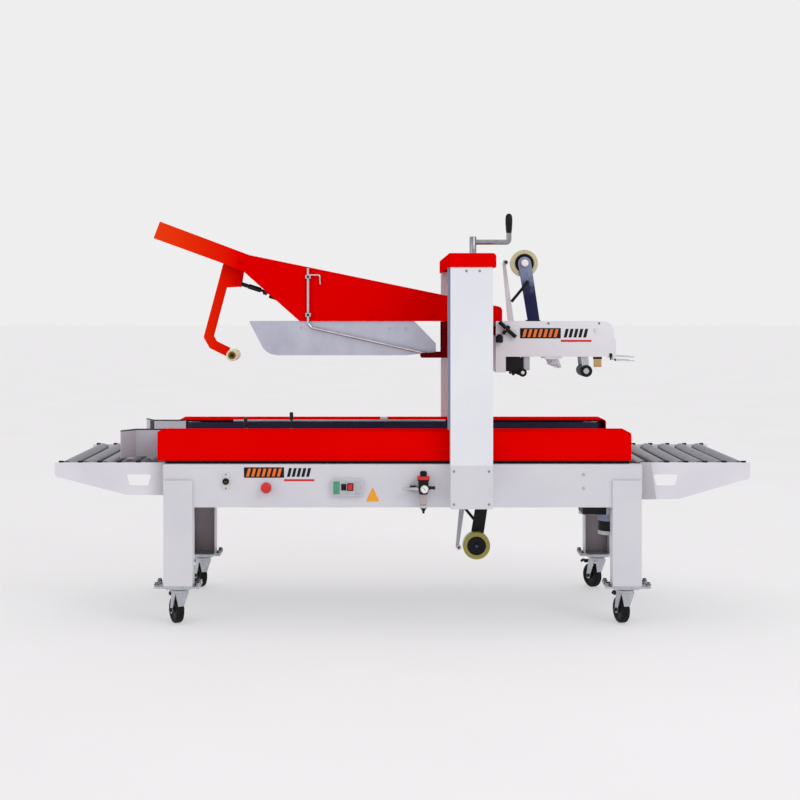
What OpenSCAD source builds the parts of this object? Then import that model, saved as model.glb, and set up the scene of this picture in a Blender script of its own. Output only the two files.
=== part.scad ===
// Carton sealer: flap-folding arm, top and bottom tape heads, two side belts.
// X runs along the carton's path, -Y is the operator's side, Z is up, origin on the floor.

/* [Bed] */
// Half of the main bed's length
bed_half_l = 890; // [880:1:900]
// Half of the overall length, extension tables included
table_half_l = 1302; // [1300:1:1310]
// Outer face of the side panels from the centre line
panel_y = 377; // [376:0.5:377]
// Underside of the side panels
panel_z0 = 444; // [442:1:446]
// Top edge of the side panels
panel_z1 = 604; // [602:1:606]
// Sheet thickness of the bed
sheet_t = 3; // [2:0.5:3]

/* [Rollers] */
// Roller tube diameter
roller_d = 50; // [46:1:50]
// Distance from one roller to the next
roller_pitch = 72; // [72:1:72]
// Height of the roller axes
roller_z = 588; // [586:1:588]
// Roller axle diameter
axle_d = 12; // [10:1:12]

/* [Extension tables] */
// Outer face of the table plates from the centre line
table_y = 345; // [344:0.5:346]
// Top edge of the table plates
table_z1 = 608; // [604:1:608]
// Underside of the table plates beside the bed
table_z0 = 485; // [480:1:490]
// How much deeper the outfeed table is than the infeed one
table_drop = 16; // [0:1:18]

/* [Legs and casters] */
// Width of a leg along the bed
leg_w = 108; // [100:1:110]
// Centre of a leg from the middle of the machine
leg_x = 835; // [833:1:836]
// Top of the foot plates, where the legs stand
foot_z = 150; // [150:1:150]
// Caster wheel diameter
wheel_d = 100; // [96:1:100]
// Caster wheel width
wheel_w = 32; // [28:1:34]
// Offset of the wheel's axle from the swivel axis
caster_trail = 33; // [30:1:34]

/* [Columns] */
// Left side of the columns
col_x0 = 176; // [174:1:177]
// Column width along the bed
col_w = 156; // [154:1:158]
// Outer face of the columns from the centre line
col_y = 440; // [438:1:440]
// Top of the columns
col_z1 = 1339; // [1336:1:1340]
// Lead screw diameter
screw_d = 20; // [18:1:22]

/* [Side belts] */
// Inner edge of the belt covers from the centre line
guard_y0 = 216; // [214:1:217]
// Outer face of the belt covers from the centre line
guard_y1 = 366; // [364:1:366]
// Top of the belt covers
guard_z1 = 724; // [720:1:730]
// Belt height
belt_h = 84; // [80:1:86]
// Pulley radius under the belt
pulley_r = 42; // [40:0.5:42]

/* [Arm and head] */
// Half width of the folding arm
arm_y = 60; // [58:1:62]
// Underside of the arm and top of the tape head
arm_z = 1134; // [1132:1:1134]
// Half width of the flap shoe
ski_y = 48; // [44:1:50]
// Half width of the tape heads
head_y = 70; // [68:1:70]
// Radius of the tape roll
tape_r = 54; // [50:1:56]
// Tape width
tape_w = 50; // [48:1:52]

/* [Hidden] */
$fn = 48;
slack = 0.06;          // radial running clearance of every shaft
axle_r = axle_d / 2;
roller_r = roller_d / 2;
inner_y = panel_y - sheet_t;
roller_half = 338;     // half length of a full roller
first_roller_x = -17.5 * roller_pitch;
free_rollers = 4;      // rollers at each end that have a node of their own
roller_count = 36;
head_zone = [160, 672];
support_y = 78;        // inner face of the bars beside the lower tape head
guard_x0 = -914;
guard_x1 = 854;
guard_z0 = 617;
guard_r = 13;          // upper corner at the outfeed end of the covers
drive_x = 792;
idler_x = -862;
pulley_y = 258;        // the belts stand 4 mm proud of their covers
belt_z0 = 629;
belt_t = 4;
belt_r = pulley_r + 0.3;
rail_x = [-576, 648];
rail_z = 457;
rail_r = 8;
guide_x = -1021;
guide_z1 = 720;
gear_z0 = 500;
gear_z1 = 546;
motor_z0 = 328;
mount_z0 = 406;        // plate between the gearbox and its motor
mount_z1 = 438;
screw_x = 260;
screw_y = 408.5;
screw_r = screw_d / 2;
post_r = 13;
cap_z1 = 1388;
leg_y1 = 385;
leg_y0 = 325;
caster_y = 338;
wheel_z = wheel_d / 2;
arm_tip_top = [-954, 1528];
arm_tip_low = [-979, 1462];
arm_knee = [-600, 1395.5];
arm_end_x = 399;
arm_heel = [-402, arm_z];
arm_throat = [-622, 1329];
nose_root = [-709.5, 1364];
arm_t = 3;
kicker_pivot = [-632, 1374];
kicker_pin = [-665, 1291];
kicker_tip = [-669, 999];
barrel_pivot = [-332, 1184];
rod_dir = atan2(kicker_pin[1] - barrel_pivot[1], kicker_pin[0] - barrel_pivot[0]);
front_pivot = [430, 1062];
front_roller = [452, 948];
rear_pivot = [652, 1070];
rear_roller = [731, 937];
roll_centre = [490, 1364];
button_y = -397;
start_at = [-218, 522];
stop_at = [-194, 522];
estop_at = [-506, 519];
head_shift = -190;     // the lower head sits this far towards the infeed
head_fold = 1604;      // upper height plus lower height of matching points
fork_turn = [-62, -62, -75, -62];   // the wheels trail to one side
caster_names = ["infeed_near", "infeed_far", "outfeed_near", "outfeed_far"];

// ---- helpers ----

// Block between two opposite corners
module block(a, b) {
  translate(a) cube(b - a);
}

// Cylinder along Y through a point [x, z], from y0 to y1
module pin_y(p, r, y0, y1) {
  translate([p[0], y0, p[1]]) rotate([-90, 0, 0]) cylinder(h = y1 - y0, r = r);
}

// Cylinder standing on a point
module post(p, r, h) {
  translate(p) cylinder(h = h, r = r);
}

// Flat shape drawn in X and Z, given a thickness from y0 to y1
module plate_y(y0, y1) {
  translate([0, y1, 0]) rotate([90, 0, 0]) linear_extrude(y1 - y0) children();
}

// Bar with square ends between two points [x, z], drawn flat
module flat_bar(a, b, w) {
  d = b - a;
  translate(a) rotate(atan2(d[1], d[0])) translate([0, -w / 2]) square([norm(d), w]);
}

// Round bar between two points in space
module rod(a, b, r) {
  d = b - a;
  l = norm(d);
  translate(a) rotate([0, acos(d[2] / l), atan2(d[1], d[0])]) cylinder(h = l, r = r);
}

// Places a part modelled at +Y on the near or the far side
module on_side(near) {
  if (near) mirror([0, 1, 0]) children();
  else children();
}

module both_sides() {
  children();
  mirror([0, 1, 0]) children();
}

module both_ends() {
  children();
  mirror([1, 0, 0]) children();
}

// Turns an upper head part over into its lower twin
module lower_twin() {
  translate([head_shift, 0, head_fold]) rotate([180, 0, 0]) children();
}

// ---- bed ----

module side_panel() {
  block([-bed_half_l, inner_y, panel_z0], [bed_half_l, panel_y, panel_z1]);
  block([-bed_half_l, inner_y - 27, panel_z1 - sheet_t], [bed_half_l, inner_y, panel_z1]);
  block([-bed_half_l, inner_y - 27, panel_z0], [bed_half_l, inner_y, panel_z0 + sheet_t]);
}

module crossmember(x0, x1) {
  block([x0, -inner_y, panel_z0 + sheet_t], [x1, inner_y, 512]);
}

module bed_frame() {
  color("gainsboro") {
    both_sides() side_panel();
    both_ends() crossmember(bed_half_l - sheet_t, bed_half_l);
    crossmember(-720, -680);
    crossmember(-320, -280);
    crossmember(120, head_zone[0]);
    crossmember(head_zone[1], 690);
    both_sides() {
      block([head_zone[0], support_y, 500], [head_zone[1] - 20, support_y + 6, panel_z1 - 2]);
      block([head_zone[0], support_y, 500], [head_zone[1], support_y + 6, 512]);
    }
    for (x = rail_x) pin_y([x, rail_z], rail_r, -inner_y, inner_y);
  }
}

// ---- rollers ----

function roller_x(i) = first_roller_x + i * roller_pitch;

module roller_shell(x, y0, y1) {
  plug = 14;
  difference() {
    pin_y([x, roller_z], roller_r, y0, y1);
    pin_y([x, roller_z], roller_r - 2, y0 + plug, y1 - plug);
    pin_y([x, roller_z], axle_r + slack, y0 - 1, y1 + 1);
  }
}

module roller_axle(x, y0, y1) {
  pin_y([x, roller_z], axle_r, y0, y1);
}

// The rollers between the free ones; short pairs leave room for the lower tape head
module bed_rollers() {
  color("slategray")
    for (i = [free_rollers : roller_count - free_rollers - 1]) {
      x = roller_x(i);
      reach = abs(x) < bed_half_l ? inner_y : table_y - sheet_t;
      if (x > head_zone[0] && x < head_zone[1] - roller_r) both_sides() {
        roller_shell(x, support_y + 8, roller_half);
        roller_axle(x, support_y + 6, reach);
      }
      else {
        roller_shell(x, -roller_half, roller_half);
        roller_axle(x, -reach, reach);
      }
    }
}

module free_roller(i) {
  color("slategray") roller_shell(roller_x(i), -roller_half, roller_half);
}

// ---- extension tables ----

module hand_hole() {
  r = 8;
  for (p = [[950, 555], [1024, 555], [958, 529], [1016, 529]]) translate(p) circle(r = r);
  polygon([[942, 555], [950, 529], [1024, 529], [1032, 555]]);
  translate([950, 547]) square([74, 16]);
  translate([958, 521]) square([58, 20]);
}

module table_outline(drop) {
  x0 = bed_half_l;
  low = table_z0 - drop;
  end = 568 - drop / 2;
  difference() {
    union() {
      polygon([[x0, low], [1035, low + 2], [1286, end - 16], [table_half_l - 4, end],
        [table_half_l, end + 4], [table_half_l, table_z1], [x0, table_z1]]);
      translate([1284, end]) circle(r = 18);
    }
    hand_hole();
  }
}

module extension_tables() {
  color("lavender") both_sides() {
    plate_y(table_y - sheet_t, table_y) table_outline(table_drop);
    mirror([1, 0, 0]) plate_y(table_y - sheet_t, table_y) table_outline(0);
  }
  color("lavender") both_ends() {
    both_sides() block([bed_half_l, table_y, table_z0 + 10], [bed_half_l + sheet_t, panel_y, 600]);
    block([table_half_l - 30, -table_y + 3, 548], [table_half_l - 27, table_y - 3, 561]);
    for (i = [0 : free_rollers - 1])
      roller_axle(-roller_x(i), -table_y + sheet_t, table_y - sheet_t);
  }
}

// ---- legs and casters ----

module leg() {
  x0 = leg_x - leg_w / 2;
  x1 = leg_x + leg_w / 2;
  t = 4;
  difference() {
    block([x0, leg_y0, foot_z], [x1, leg_y1, 545]);
    block([x0 + t, leg_y0 - 1, foot_z - 1], [x1 - t, leg_y1 - t, 546]);
    block([x0 - 1, leg_y0 - 1, panel_z0], [x1 + 1, panel_y, 546]);
  }
  block([leg_x - 78, leg_y0 - 37, foot_z - 6], [leg_x + 88, leg_y1 + 3, foot_z]);
}

// Caster top plate with the king pin that the fork turns on
module caster_plate() {
  block([-45, -40, 138], [45, 40, foot_z - 6]);
  post([0, 0, 112], 8, 28);
  post([0, 0, 111], 14, 5);
  for (x = [-72, 80]) translate([x, 38, foot_z]) cylinder(h = 11, r = 8, $fn = 6);
  for (x = [-72, 80]) translate([x, -38, foot_z]) cylinder(h = 11, r = 8, $fn = 6);
}

module at_caster(i) {
  sx = i < 2 ? -1 : 1;
  sy = i % 2 == 0 ? -1 : 1;
  translate([sx * leg_x, sy * caster_y, 0]) children();
}

module legs() {
  color("gainsboro") {
    both_ends() both_sides() leg();
    for (i = [0 : 3]) at_caster(i) mirror([i < 2 ? 1 : 0, 0, 0]) caster_plate();
  }
}

// Front of the fork: a sloping shield that narrows towards the axle
module fork_hood() {
  intersection() {
    plate_y(-27, 27) polygon([[15, 70], [18, 70], [29, 123], [18, 123], [18, 118], [24.5, 118]]);
    rotate([90, 0, 90]) linear_extrude(40) polygon([[-26, 124], [26, 124], [11, 69], [-11, 69]]);
  }
}

module caster_fork(i) {
  color("silver") at_caster(i) rotate([0, 0, fork_turn[i]]) difference() {
    union() {
      post([0, 0, 121], 30, 14);
      translate([-caster_trail, 0, 0]) both_sides() {
        plate_y(wheel_w / 2 + 3, wheel_w / 2 + 6) {
          translate([0, wheel_z]) circle(r = 13);
          polygon([[-12, wheel_z], [12, wheel_z], [46, 122], [4, 122]]);
        }
      }
      block([-caster_trail + 6, -wheel_w / 2 - 6, 119], [10, wheel_w / 2 + 6, 122]);
      fork_hood();
      translate([-caster_trail, 0, 0]) pin_y([0, wheel_z], 6, -wheel_w / 2 - 11, wheel_w / 2 + 11);
    }
    post([0, 0, 100], 8 + slack, 60);
    post([0, 0, 100], 15, 20.5);
  }
}

module caster_wheel(i) {
  color("black") at_caster(i) rotate([0, 0, fork_turn[i]]) translate([-caster_trail, 0, 0])
    difference() {
      union() {
        pin_y([0, wheel_z], wheel_d / 2, -wheel_w / 2 + 3, wheel_w / 2 - 3);
        pin_y([0, wheel_z], wheel_d / 2 - 4, -wheel_w / 2, wheel_w / 2);
      }
      pin_y([0, wheel_z], 6 + slack, -wheel_w, wheel_w);
    }
}

// ---- columns and lifting screws ----

module column() {
  x1 = col_x0 + col_w;
  t = 4;
  difference() {
    block([col_x0, panel_y, panel_z0 + 2], [x1, col_y, col_z1]);
    block([col_x0 + t, panel_y + t, panel_z0 + 1], [x1 - t, col_y - t, col_z1 + 1]);
    block([screw_x - 44, panel_y - 1, guard_z1 + 6], [screw_x + 44, panel_y + t + 1, col_z1 + 1]);
  }
  difference() {
    block([col_x0 + t, panel_y + t, guard_z1 - 4], [x1 - t, col_y - t, guard_z1 + 8]);
    post([screw_x, screw_y, guard_z1 - 5], 7 + slack, 20);
  }
}

module columns() {
  color("whitesmoke") both_sides() column();
}

// Red cover over both columns, holding the upper screw bearings
module bridge_outline(inset) {
  x0 = col_x0 - 4 + inset;
  x1 = col_x0 + 168 - inset;
  r = 14 - inset;
  z1 = cap_z1 - inset;
  translate([x0, col_z1 - 3 - inset]) square([x1 - x0, z1 - r - col_z1 + 3 + inset]);
  translate([x0, z1 - r - 1]) square([x1 - x0 - r, r + 1]);
  translate([x1 - r, z1 - r]) circle(r = r);
}

module top_bridge() {
  color("red") {
    difference() {
      plate_y(-col_y - 3, col_y + 3) bridge_outline(0);
      plate_y(-col_y, col_y) bridge_outline(3);
      post([screw_x, -screw_y, cap_z1 - 10], post_r + slack, 20);
    }
    both_sides() difference() {
      block([col_x0, panel_y, col_z1], [col_x0 + col_w, col_y, col_z1 + 6]);
      post([screw_x, screw_y, col_z1 - 1], screw_r + slack, 20);
    }
  }
}

module lead_screw(near) {
  color("silver") on_side(near) {
    post([screw_x, screw_y, guard_z1 + 8.5], screw_r, col_z1 + 20 - guard_z1 - 8.5);
    post([screw_x, screw_y, guard_z1 - 3], 7, 14);
    post([screw_x, screw_y, col_z1 + 8], 24, 8);
  }
}

module crank_handle() {
  arm_z0 = 1419;
  arm_z1 = 1440;
  knob_x = 393;
  color("silver") {
    difference() {
      post([screw_x, -screw_y, col_z1 + 16], post_r, 1450 - col_z1 - 16);
      post([screw_x, -screw_y, col_z1 + 10], screw_r, 10);
    }
    block([screw_x, -screw_y - 7, arm_z0], [knob_x + 7, -screw_y + 7, arm_z1]);
    post([knob_x, -screw_y, arm_z0 + 4], 6, 46);
  }
  color("black") translate([knob_x, -screw_y, 1461])
    rotate_extrude() polygon([[0, 0], [8, 0], [11, 20], [13, 55], [12, 68], [8, 74], [0, 74]]);
}

// ---- lifting carriage, arm and what hangs on it ----

module head_carriage() {
  beam_x0 = 188;
  beam_x1 = 318;
  color("firebrick") {
    difference() {
      block([beam_x0, -366, 1070], [beam_x1, 366, arm_z]);
      block([beam_x0 + 4, -370, 1074], [beam_x1 - 4, 370, arm_z - 4]);
    }
    both_sides() difference() {
      block([screw_x - 40, 366, 1040], [screw_x + 40, 430, 1150]);
      post([screw_x, screw_y, 1000], screw_r + slack, 200);
    }
    both_sides() block([beam_x1, 30, 1078], [373, 50, 1112]);
    both_sides() {
      block([160, 62, 990], [beam_x0, 74, arm_z - 2]);
      block([78, 62, 990], [160, 74, 1010]);
    }
  }
}

module arm_outline() {
  polygon([arm_tip_top, arm_knee, [195, 1232], [386, 1192], [394, 1188], [arm_end_x, 1178],
    [arm_end_x, arm_z], arm_heel, arm_throat, nose_root, arm_tip_low]);
}

// Inside of the arm; it runs out through the slanted mouth and the nose's open underside
module arm_inside() {
  polygon([arm_tip_top + [1, -7], arm_knee - [0.6, arm_t], [194, 1232 - arm_t], [385, 1189],
    [391, 1185], [arm_end_x - arm_t, 1176], [arm_end_x - arm_t, arm_z + arm_t],
    arm_heel + [0, arm_t], arm_heel - [12, 10], arm_throat - [12, 14], nose_root - [4, 14],
    arm_tip_low + [8, -16], arm_tip_low + [4, 4]]);
}

module arm_shell() {
  color("red") {
    difference() {
      plate_y(-arm_y, arm_y) arm_outline();
      plate_y(-arm_y + arm_t, arm_y - arm_t) arm_inside();
    }
    pin_y(kicker_pivot, 8, -arm_y + 1, arm_y - 1);
    pin_y(barrel_pivot, 5, -arm_y + 1, arm_y - 1);
    both_sides() {
      pin_y(kicker_pivot, 11, arm_y - 1, arm_y + 5);
      pin_y([-121, 1155], 5, arm_y - 1, arm_y + 3);
      pin_y([119, 1155], 5, arm_y - 1, arm_y + 3);
    }
  }
}

module ski_outline() {
  polygon([[-603, arm_z], [-548, 1028], [-534, 1013], [-514, 1003], [-490, 999], [20, 999],
    [137, 1012], [137, 1046], [52, arm_z]]);
}

module flap_ski() {
  t = 2.5;
  color("lightsteelblue") difference() {
    plate_y(-ski_y, ski_y) ski_outline();
    plate_y(-ski_y + t, ski_y - t) difference() {
      translate([0, t]) ski_outline();
      translate([-603 - t, 999]) square([t + 22, 200]);
    }
    block([-700, -ski_y + t, arm_z - 1], [200, ski_y - t, arm_z + 9]);
  }
}

module fold_rods() {
  y = 68;
  r = 6;
  x = -368;
  top = [x, y, 1343];
  bend = [x, y, 1124];
  knee = [x + 14, y, 1108];
  end = [75, y, 1004];
  color("silver") both_sides() {
    rod(bend, top, r);
    rod(bend + [0, 0, -1], knee, r - 0.3);
    rod(knee, end, r);
    for (p = [bend, knee]) translate(p) sphere(r = r + 0.6);
    for (z = [1150, 1300]) block([x - 12, arm_y, z], [x + 12, y + 9, z + 18]);
    block([x + 12, y - 2, 1312], [x + 51, y + 4, 1320]);
    block([x + 44, y - 2, 1279], [x + 51, y + 4, 1312]);
  }
}

module kicker_side() {
  tube_w = 35;
  bends = [[-768, 1072], [-750, 1040]];
  flat_bar([-690, 1364], bends[0], tube_w);
  flat_bar(bends[0], bends[1], tube_w);
  flat_bar(bends[1], [-691, 1011], tube_w);
  for (p = bends) translate(p) circle(r = tube_w / 2 + 0.3);
  polygon([[-702, 1361], [-660, 1364], [-632, 1356], [-629, 1331], [-638, 1271], [-706, 1268]]);
  translate(kicker_pivot) circle(r = 18);
  polygon([[-690, 1350], [-644, 1388], [-614, 1374], [-629, 1331]]);
}

module kicker() {
  color("red") {
    difference() {
      plate_y(-18, 18) difference() {
        kicker_side();
        translate(kicker_pivot) circle(r = 8 + slack);
      }
      block([-688, -12, 1240], [-600, 12, 1345]);
    }
    pin_y(kicker_pin, 5, -18, 18);
    both_sides() pin_y(kicker_pin, 8, 18, 22);
    plate_y(-6, 6) {
      flat_bar([-700, 1017], kicker_tip, 18);
      translate(kicker_tip) circle(r = 11);
    }
    pin_y(kicker_tip, 6, -66, 66);
  }
}

module kicker_roller() {
  color("tan") both_sides() difference() {
    pin_y(kicker_tip, 23, 8, 64);
    pin_y(kicker_tip, 6 + slack, 7, 65);
  }
}

// Points along the air cylinder's own axis become places in the arm
module on_cylinder() {
  translate([barrel_pivot[0], 0, barrel_pivot[1]]) rotate([0, 90 - rod_dir, 0]) children();
}

module cylinder_barrel() {
  color("dimgray") difference() {
    union() {
      on_cylinder() post([0, 0, 20], 20, 180);
      on_cylinder() block([-8, -9, 0], [8, 9, 24]);
      pin_y(barrel_pivot, 12, -9, 9);
    }
    on_cylinder() post([0, 0, 40], 16, 150);
    on_cylinder() post([0, 0, 180], 6 + slack, 40);
    pin_y(barrel_pivot, 5 + slack, -20, 20);
  }
}

module cylinder_rod() {
  color("silver") on_cylinder() {
    post([0, 0, 108], 15.9, 12);
    post([0, 0, 100], 6, 232);
    translate([0, 0, 212]) cylinder(h = 16, r = 13, $fn = 6);
    post([0, 0, 240], 10, 50);
    post([0, 0, 290], 8, 44);
  }
}

// ---- tape heads ----

module housing_outline(inset) {
  x0 = 373 + inset;
  x1 = 839 - inset;
  z0 = 994;
  z1 = arm_z - inset;
  r = 42 - inset;
  translate([x0, z0]) square([x1 - x0, z1 - r - z0]);
  translate([x0, z1 - r - 1]) square([x1 - r - x0, r + 1]);
  translate([x1 - r, z1 - r]) circle(r = r);
}

// The upper head alone shows a plate before its front roller and the knife's lever
module head_housing(upper) {
  t = 3;
  y = head_y;
  difference() {
    union() {
      plate_y(-y, y) housing_outline(0);
      if (upper) block([373, -y, 932], [412, y, 1000]);
    }
    plate_y(-y + t, y - t) housing_outline(t);
    block([373 + t, -y + t, 931], [413, y - t, 1001]);
    block([415, -y + t, 990], [838, y - t, 996]);
  }
  pin_y(front_pivot, 8, -y + 1, y - 1);
  pin_y(rear_pivot, 8, -y + 1, y - 1);
  both_sides() {
    for (x = [580, 780]) pin_y([x, 1126], 4, y - 1, y + 3);
    pin_y([767, 1099], 6, y - 1, y + 5);
  }
  // knife carrier
  block([566, -y + t, 985], [634, -58, 1005]);
  block([566, 58, 985], [634, y - t, 1005]);
  block([572, -58, 1000], [628, 58, 1005]);
  if (upper) plate_y(-40, 40)
    polygon([[574, 1002], [590, 960], [620, 947], [634, 952], [606, 975], [600, 1002]]);
}

module top_head_housing() {
  color("white") {
    head_housing(true);
    // cleaning block and tape guard wires at the outfeed end
    block([761, -head_y + 4, 954], [789, -57, 1000]);
    both_sides() {
      block([834, 46, 986], [848, 62, 1064]);
      rod([846, 54, 995], [921, 54, 995], 2);
      rod([846, 54, 979], [846, 54, 995], 2);
      rod([846, 54, 979], [921, 54, 979], 2);
    }
    // clamp block and lever of the height lock
    block([372, -head_y - 26, 1051], [398, -head_y, 1076]);
    rod([391, -head_y - 14, 1128], [446, -head_y - 14, 1077], 5);
  }
}

module front_roller_arm() {
  both_sides() plate_y(50, 55) difference() {
    union() {
      flat_bar(front_pivot, front_roller, 34);
      translate(front_pivot) circle(r = 17);
      translate(front_roller) circle(r = 17);
    }
    translate(front_pivot) circle(r = 8 + slack);
  }
  pin_y(front_roller, 23, -49, 49);
  pin_y(front_roller, 8, -56, 56);
  pin_y((front_pivot + front_roller) / 2, 7, -51, 51);
}

module rear_roller_arm() {
  elbow = [724, 1006];
  both_sides() plate_y(50, 55) difference() {
    union() {
      flat_bar(rear_pivot, elbow, 28);
      flat_bar(elbow, rear_roller, 28);
      translate(elbow) circle(r = 15);
      translate(rear_pivot) circle(r = 15);
      translate(rear_roller) circle(r = 15);
    }
    translate(rear_pivot) circle(r = 8 + slack);
  }
  pin_y(rear_roller, 23, -49, 49);
  pin_y(rear_roller, 8, -56, 56);
  pin_y(elbow, 7, -51, 51);
}

// Upright arm that carries the tape roll, with its guide plate and roll lock lever
module tape_arm() {
  w = 48;
  foot = [525.4, arm_z + 4];
  half = tape_w / 2;
  plate_y(-half - 9, -half - 3) {
    flat_bar(foot, roll_centre, w);
    translate(roll_centre) circle(r = w / 2 + 2);
  }
  block([500, -half - 9, arm_z], [552, half + 9, arm_z + 5]);
  pin_y(roll_centre, 9, -half - 14, half + 6);
  pin_y(roll_centre, 15, -half - 24, -half - 9);
  plate_y(half - 2, half + 2) polygon([[427, arm_z], [451, arm_z], [431, 1372], [405, 1372]]);
  pin_y([409, 1364], 9, -half, half + 2);
  rod([499, -half - 14, 1286], [437, -half - 14, 1211], 4);
  pin_y([499, 1286], 7, -half - 18, -half - 8);
}

module tape_roll() {
  half = tape_w / 2;
  difference() {
    pin_y(roll_centre, tape_r, -half, half);
    pin_y(roll_centre, 9 + slack, -half - 1, half + 1);
    pin_y(roll_centre, 33, -half - 1, -half + 6);
  }
}

// ---- side belts ----

module guard_outline(inset) {
  x0 = guard_x0 + inset;
  x1 = guard_x1 - inset;
  z0 = guard_z0 - inset;
  z1 = guard_z1 - inset;
  r = guard_r - inset;
  translate([x0, z0]) square([x1 - x0, z1 - r - z0]);
  translate([x0, z1 - r - 1]) square([x1 - r - x0, r + 1]);
  translate([x1 - r, z1 - r]) circle(r = r);
}

module belt_guard() {
  t = 3;
  difference() {
    plate_y(guard_y0, guard_y1) guard_outline(0);
    plate_y(guard_y0 - 1, guard_y1 - t) guard_outline(t);
  }
}

module belt_loop(r) {
  translate([drive_x, pulley_y]) circle(r = r);
  translate([idler_x, pulley_y]) circle(r = r);
  translate([idler_x, pulley_y - r]) square([drive_x - idler_x, 2 * r]);
}

module drive_belt() {
  translate([0, 0, belt_z0]) linear_extrude(belt_h) difference() {
    belt_loop(belt_r + belt_t);
    belt_loop(belt_r);
  }
}

module drive_pulley() {
  post([drive_x, pulley_y, belt_z0 - 2], pulley_r, belt_h + 4);
  post([drive_x, pulley_y, 520], 9, belt_z0 - 520);
}

module idler_pulley() {
  difference() {
    post([idler_x, pulley_y, belt_z0 - 2], pulley_r, belt_h + 4);
    post([idler_x, pulley_y, belt_z0 - 3], 8 + slack, belt_h + 6);
  }
}

// Base plate, slide feet, infeed guide plate and gear motor of one belt unit
module belt_carriage() {
  base_z1 = guard_z0 + 5;
  difference() {
    block([guard_x0 + 4, guard_y0 + 12, guard_z0], [guard_x1 - 4, guard_y1 - 4, base_z1]);
    post([drive_x, pulley_y, guard_z0 - 1], 9 + slack, 10);
  }
  post([idler_x, pulley_y, base_z1 - 1], 8, belt_z0 + belt_h - base_z1 + 3);
  // slide feet reach down between the rollers to the cross rails
  for (x = rail_x) difference() {
    union() {
      block([x - 7, 262, 470], [x + 7, 336, guard_z0 + 1]);
      block([x - 20, 252, rail_z - 8], [x + 20, 346, 480]);
    }
    pin_y([x, rail_z], rail_r + slack, 240, 360);
  }
  // pressure rail behind the belt's inner run
  rail_y = pulley_y - pulley_r + 2;
  block([idler_x + 60, rail_y, 640], [drive_x - 60, rail_y + 8, 700]);
  for (x = [-600, -200, 200, 600])
    block([x - 15, rail_y + 8, base_z1 - 1], [x + 15, rail_y + 28, 660]);
  // infeed guide, flared at its mouth
  translate([0, 0, guard_z0]) linear_extrude(guide_z1 - guard_z0) {
    translate([guide_x, guard_y0 - 2]) square([guard_x0 + 24 - guide_x, 2]);
    polygon([[guide_x, guard_y0 - 2], [guide_x, guard_y0], [-1063, 292], [-1066, 290]]);
  }
  // gear motor under the outfeed end, hung through the gap beside the drive shaft
  difference() {
    block([714, pulley_y - 42, gear_z0], [838, pulley_y + 42, gear_z1]);
    post([drive_x, pulley_y, 515], 9 + slack, 60);
  }
  block([714, pulley_y - 18, gear_z1 - 6], [726, pulley_y + 18, guard_z0 + 1]);
  block([684, pulley_y - 40, mount_z0], [836, pulley_y + 40, mount_z1]);
  post([drive_x, pulley_y, motor_z0], 46, gear_z0 + 5 - motor_z0);
}

// ---- controls and air supply on the near panel ----

module control_box() {
  color("lightgray") {
    difference() {
      block([-264, button_y, 489], [-148, -panel_y, 550]);
      pin_y(start_at, 9.2, button_y - 1, button_y + 10);
      pin_y(stop_at, 9.2, button_y - 1, button_y + 10);
    }
    difference() {
      pin_y(estop_at, 24, -385, -panel_y);
      pin_y(estop_at, 10.1, -386, -panel_y + 0.5);
    }
    pin_y([-657, 541], 12, -389, -panel_y);
    block([-668, -380, 510], [-646, -panel_y, 572]);
  }
}

module push_button(at) {
  pin_y(at, 9, button_y - 6, button_y + 5);
}

module emergency_stop() {
  color("red") {
    pin_y(estop_at, 20, -411, -393);
    pin_y(estop_at, 10, -393.5, -384);
  }
}

module air_regulator() {
  x = 77;
  y = -410;
  color("black") {
    post([x, y, 562], 12.5, 21);
    post([x, y, 550], 23, 13);
    block([x - 18.5, y - 18, 504], [x + 18.5, y + 18, 551]);
    post([x, y, 456], 14.5, 49);
    post([x, y, 444], 15, 13);
    translate([x, y, 426]) cylinder(h = 18, r1 = 4, r2 = 8);
    pin_y([x + 3, 519], 17.5, y - 28, y - 17);
    block([x - 78, y - 8, 509], [x - 18, y + 10, 524]);
    block([x + 18, y - 7, 514], [x + 44, y + 7, 528]);
    block([x - 50, y + 5, 508], [x - 26, -panel_y, 526]);
  }
}

module frame_screws() {
  color("dimgray") {
    both_sides() {
      for (x = [188, 317], z = [463.7, 585]) pin_y([x, z], 5.5, col_y, col_y + 2.5);
      for (x = [234, 283]) pin_y([x, 1322], 5, col_y, col_y + 2.5);
      for (z = [515, 566]) pin_y([674, z], 5, panel_y, panel_y + 3);
    }
  }
}

bed_frame();
extension_tables();
bed_rollers();
legs();
frame_screws();
columns();
top_bridge();
control_box();
air_regulator();
color("gray") lower_twin() head_housing(false);  // bottom_head_housing
color("black") lower_twin() tape_arm();  // bottom_tape_arm
color("black") push_button(start_at);  // start_button
color("red") push_button(stop_at);  // stop_button
emergency_stop();
crank_handle();
lead_screw(true);  // lead_screw_near
lead_screw(false);  // lead_screw_far
head_carriage();
arm_shell();
flap_ski();
fold_rods();
top_head_housing();
color("navy") tape_arm();  // top_tape_arm
kicker();
kicker_roller();
cylinder_barrel();
cylinder_rod();
color("black") front_roller_arm();  // top_front_roller_arm
color("silver") rear_roller_arm();  // top_rear_roller_arm
color("black") lower_twin() front_roller_arm();  // bottom_front_roller_arm
color("silver") lower_twin() rear_roller_arm();  // bottom_rear_roller_arm
color("khaki") tape_roll();  // top_tape_roll
color("olive") lower_twin() tape_roll();  // bottom_tape_roll
color("red") on_side(true) belt_guard();  // belt_guard_near
color("red") on_side(false) belt_guard();  // belt_guard_far
color("gray") on_side(true) belt_carriage();  // belt_carriage_near
color("gray") on_side(false) belt_carriage();  // belt_carriage_far
color("midnightblue") on_side(true) drive_belt();  // drive_belt_near
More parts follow.
